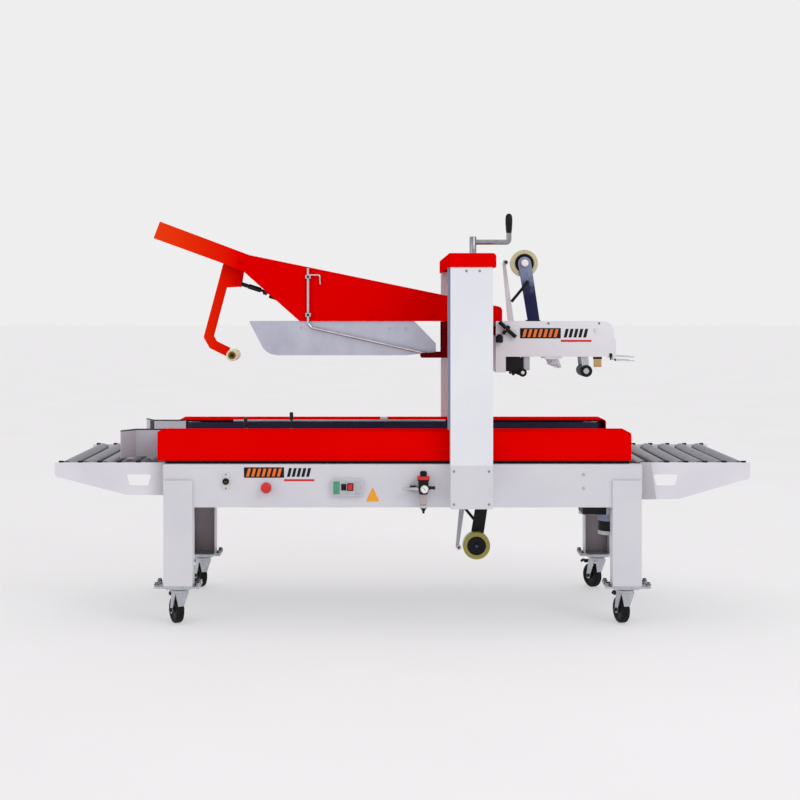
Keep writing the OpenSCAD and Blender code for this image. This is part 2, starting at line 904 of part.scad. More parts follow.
color("midnightblue") on_side(false) drive_belt();  // drive_belt_far
color("silver") on_side(true) drive_pulley();  // drive_pulley_near
color("silver") on_side(false) drive_pulley();  // drive_pulley_far
color("silver") on_side(true) idler_pulley();  // idler_pulley_near
color("silver") on_side(false) idler_pulley();  // idler_pulley_far
for (i = [0 : 3]) {
  caster_fork(i);
  caster_wheel(i);
}
for (i = [0 : free_rollers - 1]) {
  free_roller(i);
  free_roller(roller_count - 1 - i);
}
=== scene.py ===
import math
import bmesh
import bpy
from mathutils import Matrix, Vector


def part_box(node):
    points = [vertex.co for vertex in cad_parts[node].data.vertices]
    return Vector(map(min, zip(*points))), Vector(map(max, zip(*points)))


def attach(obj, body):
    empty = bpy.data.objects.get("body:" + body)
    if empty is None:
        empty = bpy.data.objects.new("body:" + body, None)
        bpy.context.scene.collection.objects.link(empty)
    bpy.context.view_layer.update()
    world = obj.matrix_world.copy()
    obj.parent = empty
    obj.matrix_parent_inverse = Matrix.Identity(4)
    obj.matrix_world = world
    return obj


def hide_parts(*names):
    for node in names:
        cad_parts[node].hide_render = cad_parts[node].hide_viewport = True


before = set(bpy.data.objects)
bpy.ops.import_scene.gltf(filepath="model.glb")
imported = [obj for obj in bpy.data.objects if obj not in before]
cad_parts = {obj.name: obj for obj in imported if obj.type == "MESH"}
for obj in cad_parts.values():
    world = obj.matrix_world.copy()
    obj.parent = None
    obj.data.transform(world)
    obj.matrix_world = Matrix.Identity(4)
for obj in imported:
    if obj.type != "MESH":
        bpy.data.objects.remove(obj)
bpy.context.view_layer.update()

mm = 0.001
scene = bpy.context.scene
sides = (("near", -1), ("far", 1))
ends = (("infeed", -1), ("outfeed", 1))
legX, legY = 835, 338  # middle of each leg and of the caster under it
panelFace = -377  # outer face of the near side panel, in Y
rollerAxles = {"front": (452, 948), "rear": (731, 937)}  # X and Z of the upper head's two roller axles


def cadBox(node):
    low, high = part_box(node)
    return low / mm, high / mm  # the box of a frame part, in millimetres


print("frame loaded:", len(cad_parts), "parts")

# Camera and light

cameraSetup = {
    "place": (-76.3, -5509, 1183),  # looks level along the machine's cross direction
    "lens": 62.06,
    "shift": (0.0225, -0.114),
}
lightSetup = {
    "world": "#EFEEEF", "worldPower": 1.0,
    "floor": "#B3B2B3", "floorShade": "#B0AFB0", "floorGlow": 0.47, "floorSize": 400,
    "lamps": (
        {"name": "keyPanel", "at": (3200, -4200, 4400), "aim": (0, 0, 800), "size": 2600, "power": 68},
        {"name": "fillPanel", "at": (-4300, -3600, 2600), "aim": (0, 0, 700), "size": 2400, "power": 15},
        {"name": "topPanel", "at": (0, 300, 5200), "aim": (0, 0, 0), "size": 3200, "power": 8},
    ),
}


def linear(hexColour):
    parts = [int(hexColour[i:i + 2], 16) / 255 for i in (1, 3, 5)]
    return tuple(c / 12.92 if c < 0.04045 else ((c + 0.055) / 1.055) ** 2.4 for c in parts) + (1.0,)


def aimed(place, target):
    towards = (Vector(target) - Vector(place)) * mm
    return Matrix.Translation(Vector(place) * mm) @ towards.to_track_quat("-Z", "Y").to_matrix().to_4x4()


def makeCamera(setup):
    data = bpy.data.cameras.new("studioCamera")
    data.lens = setup["lens"]
    data.sensor_width = 36
    data.shift_x, data.shift_y = setup["shift"]
    data.clip_end = 100
    camera = bpy.data.objects.new("studioCamera", data)
    scene.collection.objects.link(camera)
    x, y, z = setup["place"]
    camera.matrix_world = aimed((x, y, z), (x, 0, z))
    scene.camera = camera


def makeLights(setup):
    world = bpy.data.worlds.new("studioWorld")
    world.use_nodes = True
    background = world.node_tree.nodes["Background"]
    background.inputs["Color"].default_value = linear(setup["world"])
    background.inputs["Strength"].default_value = setup["worldPower"]
    scene.world = world
    for lamp in setup["lamps"]:
        data = bpy.data.lights.new(lamp["name"], "AREA")
        data.shape = "DISK"
        data.size = lamp["size"] * mm
        data.energy = lamp["power"]
        light = bpy.data.objects.new(lamp["name"], data)
        scene.collection.objects.link(light)
        light.matrix_world = aimed(lamp["at"], lamp["aim"])


makeCamera(cameraSetup)
makeLights(lightSetup)
scene.view_settings.view_transform = "Standard"
print("camera and lights placed")

# Materials


def addNode(tree, kind, inputs=None, **settings):
    node = tree.nodes.new(kind)
    for name, value in settings.items():
        setattr(node, name, value)
    for name, value in (inputs or {}).items():
        if isinstance(value, bpy.types.NodeSocket):
            tree.links.new(value, node.inputs[name])
        else:
            node.inputs[name].default_value = value
    return node


def startMaterial(name, **shaderInputs):
    material = bpy.data.materials.new(name)
    material.use_nodes = True
    tree = material.node_tree
    tree.nodes.clear()
    shader = addNode(tree, "ShaderNodeBsdfPrincipled", shaderInputs)
    output = addNode(tree, "ShaderNodeOutputMaterial")
    tree.links.new(shader.outputs["BSDF"], output.inputs["Surface"])
    place = addNode(tree, "ShaderNodeTexCoord").outputs["Object"]
    return material, tree, shader, place


# One layer of noise whose grain has the given size in mm along X, Y and Z
def grain(tree, place, sizes, detail=2.0, roughness=0.5):
    scale = tuple(1 / (s * mm) for s in sizes)
    mapped = addNode(tree, "ShaderNodeMapping", {"Vector": place, "Scale": scale})
    return addNode(tree, "ShaderNodeTexNoise", {
        "Vector": mapped.outputs["Vector"], "Scale": 1.0, "Detail": detail, "Roughness": roughness,
    }).outputs["Fac"]


def spread(tree, value, low, high, start=0.3, stop=0.7):
    return addNode(tree, "ShaderNodeMapRange", {
        "Value": value, "From Min": start, "From Max": stop, "To Min": low, "To Max": high,
    }).outputs["Result"]


def blendColours(tree, factor, first, second):
    node = addNode(tree, "ShaderNodeMix", data_type="RGBA")
    sockets = [s for s in node.inputs if s.type == "RGBA"]
    if isinstance(factor, bpy.types.NodeSocket):
        tree.links.new(factor, node.inputs["Factor"])
    else:
        node.inputs["Factor"].default_value = factor
    for socket, value in zip(sockets, (first, second)):
        if isinstance(value, bpy.types.NodeSocket):
            tree.links.new(value, socket)
        else:
            socket.default_value = value
    return [s for s in node.outputs if s.type == "RGBA"][0]


def setBump(tree, shader, height, depth, strength=1.0):
    bump = addNode(tree, "ShaderNodeBump", {"Height": height, "Strength": strength, "Distance": depth * mm})
    tree.links.new(bump.outputs["Normal"], shader.inputs["Normal"])


# Polyester powder coat on sheet steel: fine orange peel, a soft gloss and faint handling marks; an optional
# colour grade along X, which paints shade on the extension tables
def powderCoat(name, colour, shade, gloss, peel=3.5, wear="#8C8C92", colourGrade=None, **extra):
    material, tree, shader, place = startMaterial(name, **extra)
    cloud = grain(tree, place, (260, 260, 260), 3.0)
    toned = blendColours(tree, spread(tree, cloud, 0.0, 1.0), linear(colour), linear(shade))
    if colourGrade:
        along = addNode(tree, "ShaderNodeSeparateXYZ", {0: place}).outputs["X"]
        if colourGrade["bothEnds"]:
            along = addNode(tree, "ShaderNodeMath", {0: along}, operation="ABSOLUTE").outputs[0]
        graded = spread(tree, along, 0.0, 1.0, colourGrade["start"] * mm, colourGrade["stop"] * mm)
        toned = blendColours(tree, graded, toned, linear(colourGrade["colour"]))
    streak = grain(tree, place, (38, 38, 7), 4.0, 0.65)
    scuffs = spread(tree, streak, 0.0, 0.35, 0.68, 0.8)
    worn = blendColours(tree, scuffs, toned, linear(wear))
    tree.links.new(worn, shader.inputs["Base Color"])
    tree.links.new(spread(tree, streak, gloss, gloss + 0.16, 0.35, 0.75), shader.inputs["Roughness"])
    setBump(tree, shader, grain(tree, place, (peel, peel, peel), 1.5), 0.05, 0.5)
    return material


# Metal with a directional finish: the grain is long along one axis and fine across the others
def brushedMetal(name, colour, shade, sizes, roughness, depth=0.02, blotch=90):
    material, tree, shader, place = startMaterial(name, Metallic=1.0)
    lines = grain(tree, place, sizes, 3.0, 0.6)
    patches = grain(tree, place, (blotch, blotch, blotch), 4.0, 0.6)
    toned = blendColours(tree, spread(tree, patches, 0.0, 1.0), linear(colour), linear(shade))
    tree.links.new(toned, shader.inputs["Base Color"])
    rough = addNode(tree, "ShaderNodeMath", {0: spread(tree, lines, 0.0, 0.14), 1: roughness},
                    operation="ADD")
    tree.links.new(rough.outputs[0], shader.inputs["Roughness"])
    setBump(tree, shader, lines, depth, 0.5)
    return material


# Moulded plastic or rubber with a fine spark-eroded texture
def mouldedPlastic(name, colour, shade, roughness, texture=1.6, depth=0.03, **extra):
    material, tree, shader, place = startMaterial(name, **extra)
    cloud = grain(tree, place, (45, 45, 45), 4.0, 0.6)
    toned = blendColours(tree, spread(tree, cloud, 0.0, 1.0), linear(colour), linear(shade))
    tree.links.new(toned, shader.inputs["Base Color"])
    fine = grain(tree, place, (texture, texture, texture), 2.0)
    tree.links.new(spread(tree, cloud, roughness - 0.06, roughness + 0.1), shader.inputs["Roughness"])
    setBump(tree, shader, fine, depth, 0.6)
    return material


# Wound adhesive film seen from its side: hundreds of turns as faint rings about the roll's axle
def woundFilm(name, colour, shade, centre):
    material, tree, shader, place = startMaterial(name, **{
        "Roughness": 0.28, "Subsurface Weight": 0.25, "Subsurface Scale": 0.01, "Coat Weight": 0.4})
    moved = addNode(tree, "ShaderNodeVectorMath", {0: place, 1: tuple(c * mm for c in centre)},
                    operation="SUBTRACT").outputs[0]
    flat = addNode(tree, "ShaderNodeVectorMath", {0: moved, 1: (1, 0, 1)}, operation="MULTIPLY").outputs[0]
    radius = addNode(tree, "ShaderNodeVectorMath", {0: flat}, operation="LENGTH").outputs["Value"]
    stacked = addNode(tree, "ShaderNodeCombineXYZ", {"X": radius}).outputs[0]
    turns = grain(tree, stacked, (0.9, 1, 1), 4.0, 0.7)  # turns drawn 0.9 mm apart so that they show
    toned = blendColours(tree, spread(tree, turns, 0.0, 1.0, 0.35, 0.65), linear(colour), linear(shade))
    tree.links.new(toned, shader.inputs["Base Color"])
    setBump(tree, shader, turns, 0.08, 0.6)
    return material


def clearPlastic(name, colour, roughness):
    material, tree, shader, place = startMaterial(name, **{
        "Base Color": linear(colour), "Transmission Weight": 0.85, "IOR": 1.58})
    smear = grain(tree, place, (12, 12, 20), 3.0)
    tree.links.new(spread(tree, smear, roughness, roughness + 0.15), shader.inputs["Roughness"])
    return material


# Dark blue painted arm with a painted reflection: blue-grey at its head grading to dark blue at its foot
def reflectionGradedPaint(name, topColour, footColour, topZ, footZ):
    material, tree, shader, place = startMaterial(name, **{"Roughness": 0.4, "Specular IOR Level": 0.25})
    height = addNode(tree, "ShaderNodeSeparateXYZ", {0: place}).outputs["Z"]
    mottled = grain(tree, place, (26, 26, 40), 4.0, 0.65)
    shift = spread(tree, mottled, -35 * mm, 35 * mm)
    moved = addNode(tree, "ShaderNodeMath", {0: height, 1: shift}, operation="ADD").outputs[0]
    colourGrade = addNode(tree, "ShaderNodeMapRange", {
        "Value": moved, "From Min": footZ * mm, "From Max": topZ * mm}, interpolation_type="SMOOTHSTEP")
    toned = blendColours(tree, colourGrade.outputs["Result"], linear(footColour), linear(topColour))
    tree.links.new(toned, shader.inputs["Base Color"])
    setBump(tree, shader, grain(tree, place, (3, 3, 3)), 0.04, 0.5)
    return material


lowShine = {"Specular IOR Level": 0.0}
finishes = {
    "white": powderCoat("whitePowderCoat", "#D5D4DA", "#CBCAD2", 0.42),
    "brightWhite": powderCoat("columnPowderCoat", "#E4E6EB", "#DDDFE6", 0.38),
    "coolWhite": powderCoat("guidePaint", "#E2EEF4", "#D4E0EA", 0.4),
    # extension table plates: the colour grade darkens both ends towards the bed, painted shade of the recess
    # there
    "lilacWhite": powderCoat("tablePowderCoat", "#DFDDE4", "#D2D0D9", 0.42,
                             colourGrade={"colour": "#BDBAC1", "start": 960, "stop": 885, "bothEnds": True}),
    # grey for the painted shade band on the table plates
    "shadeBandGrey": powderCoat("shadeBandPowderCoat", "#BCB9BF", "#B0ADB4", 0.45),
    # darker mauve-grey used as painted shade on the legs
    "legShade": powderCoat("legPaintedShade", "#9C9394", "#7E7273", 0.45),
    "red": powderCoat("redPowderCoat", "#E20300", "#DC0000", 0.5, wear="#EA1C08", **lowShine),
    "warmRed": powderCoat("armPowderCoat", "#E00000", "#DC0000", 0.5, wear="#EC2008",
                          # arm red: orange tint graded in along X beyond X -640
                          colourGrade={"colour": "#EA3A10", "start": -640, "stop": -960, "bothEnds": False},
                          **lowShine),
    "darkRed": powderCoat("maroonPowderCoat", "#6E0A0E", "#540509", 0.5, wear="#8A4440", **lowShine),
    "black": powderCoat("blackPowderCoat", "#0D0D10", "#09090C", 0.42, wear="#36363C",
                        **{"Specular IOR Level": 0.25}),
    "greyPaint": powderCoat("headPowderCoat", "#B9BAC4", "#A8AAB5", 0.40),
    "zinc": brushedMetal("zincPlate", "#C9CBD0", "#AEB2BA", (5, 5, 5), 0.30, blotch=18),
    "roller": brushedMetal("zincTube", "#767781", "#646671", (60, 1.6, 60), 0.27, 0.03, 60),
    "sheet": brushedMetal("rolledSteelSheet", "#C9CAD8", "#B7B9C9", (90, 6, 1.6), 0.36, 0.015, 120),
    "chrome": brushedMetal("polishedSteel", "#CFD0D4", "#B9BBC1", (3, 3, 3), 0.14, 0.006, 30),
    "darkSteel": brushedMetal("groundSteel", "#A3A2A8", "#86868E", (3, 30, 3), 0.18, 0.01, 26),
    "aluminium": brushedMetal("turnedAluminium", "#D3D5D8", "#BFC2C7", (40, 40, 0.9), 0.26, 0.02, 30),
    "blackSteel": brushedMetal("blackenedSteel", "#3A3B40", "#26272B", (4, 4, 4), 0.36, 0.02, 22),
    "motorGrey": powderCoat("motorEnamel", "#8C96AE", "#7A849C", 0.42, 2.2),
    # dark navy used as painted shade on the far guide's flare
    "navy": mouldedPlastic("navyFlareShade", "#16183C", "#101230", 0.5, 1.8, 0.02),
    "belt": mouldedPlastic("beltRubber", "#10123F", "#0A0B2E", 0.52, 1.4, 0.05),
    "tyre": mouldedPlastic("tyreRubber", "#0C0C10", "#070709", 0.62, 1.8, 0.06,
                           **{"Specular IOR Level": 0.2}),
    "blackPlastic": mouldedPlastic("blackNylon", "#0B0B0D", "#070709", 0.45,
                                   **{"Specular IOR Level": 0.22}),
    "redPlastic": mouldedPlastic("redAbs", "#D8151B", "#C20D14", 0.30, 2.4, 0.015),
    "greyPlastic": mouldedPlastic("greyAbs", "#C9C9CE", "#BDBDC4", 0.40),
    "greenPlate": mouldedPlastic("greenLabelFilm", "#4F9A78", "#3F8A68", 0.30, 2.2, 0.01),
    "whitePlastic": mouldedPlastic("whiteAcetal", "#F1F0EC", "#E6E4DE", 0.34, 2.0, 0.012),
    "bluePlastic": mouldedPlastic("blueAbs", "#2A3C9A", "#1E2C7C", 0.32, 2.2, 0.012),
    "orangeFilm": mouldedPlastic("orangeLabelFilm", "#F07A18", "#E56A10", 0.34, 2.2, 0.008),
    "yellowFilm": mouldedPlastic("yellowLabelFilm", "#F2A820", "#E89A14", 0.34, 2.2, 0.008),
    "gold": brushedMetal("bronzeBush", "#9C7A34", "#7C5E22", (6, 1.2, 6), 0.3, 0.02, 14),
    "nylon": mouldedPlastic("castNylon", "#EBDFC0", "#DCCDA4", 0.38, 2.4, 0.03,
                            **{"Subsurface Weight": 0.15, "Subsurface Scale": 0.004}),
    "beige": mouldedPlastic("beigeFelt", "#C3A878", "#AF925F", 0.75, 1.2, 0.12),
    "brass": brushedMetal("turnedBrass", "#CDA85A", "#B58C3E", (6, 6, 1.2), 0.26, 0.02, 14),
    "bowl": clearPlastic("clearPolycarbonate", "#F6EAE8", 0.06),
    "card": mouldedPlastic("rollCardboard", "#A98B63", "#937550", 0.82, 1.2, 0.12),
}
print("materials:", len(finishes))

# Mesh tools; every size is in millimetres


def finishMesh(mesh, creaseDegrees=32):
    for polygon in mesh.polygons:
        polygon.use_smooth = True
    mesh.set_sharp_from_angle(angle=math.radians(creaseDegrees))
    mesh.update()


def addPiece(name, body, finish, meshes, replaced=()):
    work = bmesh.new()
    for mesh in meshes:
        work.from_mesh(mesh)
        bpy.data.meshes.remove(mesh)
    bmesh.ops.recalc_face_normals(work, faces=work.faces)
    whole = bpy.data.meshes.new(name)
    work.to_mesh(whole)
    work.free()
    finishMesh(whole)
    whole.materials.append(finishes[finish] if isinstance(finish, str) else finish)
    piece = bpy.data.objects.new(name, whole)
    scene.collection.objects.link(piece)
    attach(piece, body)
    if replaced:
        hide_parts(*replaced)
    return piece


def meshFrom(work, merge=True):
    if merge:
        bmesh.ops.remove_doubles(work, verts=work.verts, dist=0.002 * mm)
    bmesh.ops.recalc_face_normals(work, faces=work.faces)
    mesh = bpy.data.meshes.new("shape")
    work.to_mesh(mesh)
    work.free()
    return mesh


def softBox(low, high, bevel=1.0, segments=2):
    work = bmesh.new()
    bmesh.ops.create_cube(work, size=1)
    low, high = Vector(low) * mm, Vector(high) * mm
    for vertex in work.verts:
        vertex.co = Vector([low[i] + (vertex.co[i] + 0.5) * (high[i] - low[i]) for i in range(3)])
    if bevel:
        bmesh.ops.bevel(work, geom=list(work.edges), offset=bevel * mm, segments=segments,
                        affect="EDGES", profile=0.5, clamp_overlap=True)
    return meshFrom(work)


# A turned shape: profile is a list of (distance along the axis, radius); radius 0 closes an end
def turned(profile, place, axis="Z", steps=40, closed=False):
    work = bmesh.new()
    turn = {"X": Matrix.Rotation(math.radians(90), 4, "Y"),
            "Y": Matrix.Rotation(math.radians(-90), 4, "X"),
            "Z": Matrix.Identity(4)}[axis] if isinstance(axis, str) else \
        Vector(axis).to_track_quat("Z", "Y").to_matrix().to_4x4()
    matrix = Matrix.Translation(Vector(place) * mm) @ turn
    rings = []
    for along, radius in profile:
        if radius < 1e-6:
            rings.append([work.verts.new(matrix @ (Vector((0, 0, along)) * mm))])
            continue
        rings.append([work.verts.new(matrix @ (Vector((
            radius * math.cos(2 * math.pi * i / steps),
            radius * math.sin(2 * math.pi * i / steps), along)) * mm)) for i in range(steps)])
    pairs = list(zip(rings, rings[1:])) + ([(rings[-1], rings[0])] if closed else [])
    for lower, upper in pairs:
        for i in range(steps):
            j = (i + 1) % steps
            corners = [lower[i % len(lower)], lower[j % len(lower)], upper[j % len(upper)],
                       upper[i % len(upper)]]
            unique = list(dict.fromkeys(corners))
            if len(unique) > 2:
                work.faces.new(unique)
    return meshFrom(work, merge=False)


# Polyline with its corners rounded; radius may differ from corner to corner
def filleted(points, radii, closed=False, steps=6):
    points = [Vector(p) for p in points]
    if not isinstance(radii, (list, tuple)):
        radii = [radii] * len(points)
    result = []
    for i, point in enumerate(points):
        if not closed and i in (0, len(points) - 1) or radii[i] <= 0:
            result.append(point)
            continue
        before, after = points[i - 1] - point, points[(i + 1) % len(points)] - point
        reach = radii[i] / math.tan(before.angle(after) / 2)
        reach = min(reach, before.length * 0.49, after.length * 0.49)
        start, stop = point + before.normalized() * reach, point + after.normalized() * reach
        for k in range(steps + 1):
            t = k / steps
            result.append(start * (1 - t) ** 2 + point * 2 * t * (1 - t) + stop * t ** 2)
    return result


# A plate cut from an outline in X and Z, its edges eased; holes are (x, z, radius) or outlines
def cutPlate(outline, y0, y1, ease=0.6, holes=()):
    curve = bpy.data.curves.new("outline", "CURVE")
    curve.dimensions = "2D"
    curve.fill_mode = "BOTH"
    thickness = abs(y1 - y0)
    ease = min(ease, thickness * 0.45)
    curve.extrude = (thickness / 2 - ease) * mm
    curve.bevel_depth = ease * mm
    curve.bevel_resolution = 1
    curve.offset = -ease * mm
    loops = [outline]
    for hole in holes:
        if len(hole) > 3:
            loops.append(hole)
            continue
        x, z, r = hole
        loops.append([(x + r * math.cos(a * math.pi / 14),
                       z + r * math.sin(a * math.pi / 14)) for a in range(28)])
    for loop in loops:
        spline = curve.splines.new("POLY")
        spline.points.add(len(loop) - 1)
        for point, place in zip(spline.points, loop):
            point.co = (place[0] * mm, place[1] * mm, 0, 1)
        spline.use_cyclic_u = True
    holder = bpy.data.objects.new("outline", curve)
    scene.collection.objects.link(holder)
    bpy.context.view_layer.update()
    mesh = bpy.data.meshes.new_from_object(holder.evaluated_get(bpy.context.evaluated_depsgraph_get()))
    bpy.data.objects.remove(holder)
    mesh.transform(Matrix.Translation((0, (y0 + y1) / 2 * mm, 0)) @ Matrix.Rotation(math.radians(90), 4,
                                                                                    "X"))
    work = bmesh.new()
    work.from_mesh(mesh)
    bpy.data.meshes.remove(mesh)
    return meshFrom(work)


# Outline of an upright rectangle in X and Z with rounded corners
def rectOutline(x0, x1, z0, z1, radius):
    return filleted([(x0, z0), (x1, z0), (x1, z1), (x0, z1)], radius, closed=True)


# A flat slab that stands on the line between two points in X and Y
def slab(start, stop, z0, z1, thickness, bevel=0.4):
    start, stop = Vector(start), Vector(stop)
    span = stop - start
    mesh = softBox((0, -thickness / 2, z0), (span.length, thickness / 2, z1), bevel)
    mesh.transform(Matrix.Translation((start.x * mm, start.y * mm, 0)) @
                   Matrix.Rotation(math.atan2(span.y, span.x), 4, "Z"))
    return mesh


# A bar outline between two points in X and Z, with round ends
def linkOutline(start, stop, startRadius, stopRadius, steps=14):
    start, stop = Vector(start), Vector(stop)
    heading = math.atan2(stop.y - start.y, stop.x - start.x)
    outline = []
    for centre, radius, base in ((stop, stopRadius, heading - math.pi / 2),
                                 (start, startRadius, heading + math.pi / 2)):
        for k in range(steps + 1):
            a = base + math.pi * k / steps
            outline.append((centre.x + radius * math.cos(a), centre.y + radius * math.sin(a)))
    return outline


# Round bar bent along a path
def bentRod(points, radius, bendRadius=14, sidesCount=16):
    path = filleted(points, bendRadius, steps=7)
    work = bmesh.new()
    normal = None
    rings = []
    for i, point in enumerate(path):
        heading = (path[min(i + 1, len(path) - 1)] - path[max(i - 1, 0)]).normalized()
        if normal is None:
            normal = heading.orthogonal().normalized()
        normal = (normal - heading * normal.dot(heading)).normalized()
        binormal = heading.cross(normal)
        rings.append([work.verts.new((point + (normal * math.cos(a) + binormal * math.sin(a)) * radius) * mm)
                      for a in (2 * math.pi * k / sidesCount for k in range(sidesCount))])
    for lower, upper in zip(rings, rings[1:]):
        for k in range(sidesCount):
            work.faces.new((lower[k], lower[(k + 1) % sidesCount], upper[(k + 1) % sidesCount], upper[k]))
    work.faces.new(rings[0][::-1])
    work.faces.new(rings[-1])
    return meshFrom(work, merge=False)


# Geometry Nodes: shapes that repeat


def socketId(tree, name):
    return [item.identifier for item in tree.interface.items_tree
            if item.item_type == "SOCKET" and item.in_out == "INPUT" and item.name == name][0]


def startTree(name, numbers):
    tree = bpy.data.node_groups.new(name, "GeometryNodeTree")
    tree.interface.new_socket("Geometry", in_out="INPUT", socket_type="NodeSocketGeometry")
    for label, value in numbers.items():
        kind = "NodeSocketInt" if isinstance(value, int) else "NodeSocketFloat"
        tree.interface.new_socket(label, in_out="INPUT", socket_type=kind).default_value = value
    tree.interface.new_socket("Finish", in_out="INPUT", socket_type="NodeSocketMaterial")
    tree.interface.new_socket("Geometry", in_out="OUTPUT", socket_type="NodeSocketGeometry")
    return tree, addNode(tree, "NodeGroupInput")


def endTree(tree, entry, geometry):
    real = addNode(tree, "GeometryNodeRealizeInstances", {"Geometry": geometry})
    painted = addNode(tree, "GeometryNodeSetMaterial", {
        "Geometry": real.outputs["Geometry"], "Material": entry.outputs["Finish"]})
    addNode(tree, "NodeGroupOutput", {"Geometry": painted.outputs["Geometry"]})
    return tree


# A screw on every point of the base mesh, its head along the point's facing attribute
def makeScrewTree():
    tree, entry = startTree("screwField", {"Head radius": 0.005, "Head height": 0.003,
                                           "Washer radius": 0.007, "Corners": 6})
    washer = addNode(tree, "GeometryNodeMeshCylinder", {
        "Vertices": 24, "Radius": entry.outputs["Washer radius"], "Depth": 0.0016})
    head = addNode(tree, "GeometryNodeMeshCone", {
        "Vertices": entry.outputs["Corners"], "Radius Bottom": entry.outputs["Head radius"],
        "Depth": entry.outputs["Head height"]})
    crown = addNode(tree, "ShaderNodeMath", {0: entry.outputs["Head radius"], 1: 0.86},
                    operation="MULTIPLY")
    tree.links.new(crown.outputs[0], head.inputs["Radius Top"])
    joined = addNode(tree, "GeometryNodeJoinGeometry")
    tree.links.new(washer.outputs["Mesh"], joined.inputs["Geometry"])
    tree.links.new(head.outputs["Mesh"], joined.inputs["Geometry"])
    facing = addNode(tree, "GeometryNodeInputNamedAttribute", {"Name": "facing"}, data_type="FLOAT_VECTOR")
    turn = addNode(tree, "FunctionNodeAlignRotationToVector", {"Vector": facing.outputs[0]}, axis="Z")
    placed = addNode(tree, "GeometryNodeInstanceOnPoints", {
        "Points": entry.outputs["Geometry"], "Instance": joined.outputs["Geometry"],
        "Rotation": turn.outputs["Rotation"]})
    return endTree(tree, entry, placed.outputs["Instances"])


# Equal bars or rings spaced along the edges of the base mesh
def makeRowTree():
    tree, entry = startTree("ribRow", {"Count": 10, "Rib radius": 0.01, "Rib depth": 0.002, "Corners": 32})
    path = addNode(tree, "GeometryNodeMeshToCurve", {"Mesh": entry.outputs["Geometry"]})
    points = addNode(tree, "GeometryNodeCurveToPoints", {
        "Curve": path.outputs["Curve"], "Count": entry.outputs["Count"]}, mode="COUNT")
    ring = addNode(tree, "GeometryNodeMeshCylinder", {
        "Vertices": entry.outputs["Corners"], "Radius": entry.outputs["Rib radius"],
        "Depth": entry.outputs["Rib depth"]})
    placed = addNode(tree, "GeometryNodeInstanceOnPoints", {
        "Points": points.outputs["Points"], "Instance": ring.outputs["Mesh"],
        "Rotation": points.outputs["Rotation"]})
    return endTree(tree, entry, placed.outputs["Instances"])


# Upright ribs on a belt that runs round in a level loop
def makeBeltTree():
    tree, entry = startTree("beltRibs", {"Count": 200, "Rib width": 0.004, "Rib depth": 0.002,
                                         "Rib height": 0.08})
    path = addNode(tree, "GeometryNodeMeshToCurve", {"Mesh": entry.outputs["Geometry"]})
    points = addNode(tree, "GeometryNodeCurveToPoints", {
        "Curve": path.outputs["Curve"], "Count": entry.outputs["Count"]}, mode="COUNT")
    size = addNode(tree, "ShaderNodeCombineXYZ", {
        "X": entry.outputs["Rib width"], "Y": entry.outputs["Rib depth"], "Z": entry.outputs["Rib height"]})
    rib = addNode(tree, "GeometryNodeMeshCube", {"Size": size.outputs[0]})
    turn = addNode(tree, "FunctionNodeAlignRotationToVector", {"Vector": points.outputs["Tangent"]},
                   axis="X")
    placed = addNode(tree, "GeometryNodeInstanceOnPoints", {
        "Points": points.outputs["Points"], "Instance": rib.outputs["Mesh"],
        "Rotation": turn.outputs["Rotation"]})
    return endTree(tree, entry, placed.outputs["Instances"])


# Helical thread wound up the Z axis from the base mesh's first point
def makeThreadTree():
    tree, entry = startTree("screwThread", {"Turns": 100.0, "Core radius": 0.01, "Length": 0.5,
                                            "Thread radius": 0.0008})
    spiral = addNode(tree, "GeometryNodeCurveSpiral", {
        "Resolution": 20, "Rotations": entry.outputs["Turns"], "Start Radius": entry.outputs["Core radius"],
        "End Radius": entry.outputs["Core radius"], "Height": entry.outputs["Length"]})
    profile = addNode(tree, "GeometryNodeCurvePrimitiveCircle", {
        "Resolution": 4, "Radius": entry.outputs["Thread radius"]}, mode="RADIUS")
    swept = addNode(tree, "GeometryNodeCurveToMesh", {
        "Curve": spiral.outputs["Curve"], "Profile Curve": profile.outputs["Curve"], "Fill Caps": True})
    placed = addNode(tree, "GeometryNodeInstanceOnPoints", {
        "Points": entry.outputs["Geometry"], "Instance": swept.outputs["Mesh"]})
    return endTree(tree, entry, placed.outputs["Instances"])


nodeTrees = {"screws": makeScrewTree(), "row": makeRowTree(), "belt": makeBeltTree(),
             "thread": makeThreadTree()}


# Runs a tree on points joined by edges and keeps the result as a plain mesh riding on the body
def grow(name, body, treeName, points, settings, finish, facings=None, loop=False, replaced=()):
    tree = nodeTrees[treeName]
    base = bpy.data.meshes.new(name + "Base")
    edges = []
    if treeName in ("row", "belt"):
        edges = [(i, i + 1) for i in range(len(points) - 1)] + ([(len(points) - 1, 0)] if loop else [])
    base.from_pydata([tuple(c * mm for c in p) for p in points], edges, [])
    if facings:
        attribute = base.attributes.new("facing", "FLOAT_VECTOR", "POINT")
        for entry, facing in zip(attribute.data, facings):
            entry.vector = facing
    holder = bpy.data.objects.new(name + "Base", base)
    scene.collection.objects.link(holder)
    modifier = holder.modifiers.new("shape", "NODES")
    modifier.node_group = tree
    for label, value in settings.items():
        modifier[socketId(tree, label)] = value
    modifier[socketId(tree, "Finish")] = finishes[finish]
    bpy.context.view_layer.update()
    mesh = bpy.data.meshes.new_from_object(holder.evaluated_get(bpy.context.evaluated_depsgraph_get()))
    holder.modifiers.clear()
    bpy.data.objects.remove(holder)
    bpy.data.meshes.remove(base)
    return addPiece(name, body, finish, [mesh], replaced)


print("tools ready")

# Finishes of the frame parts that keep their own shape

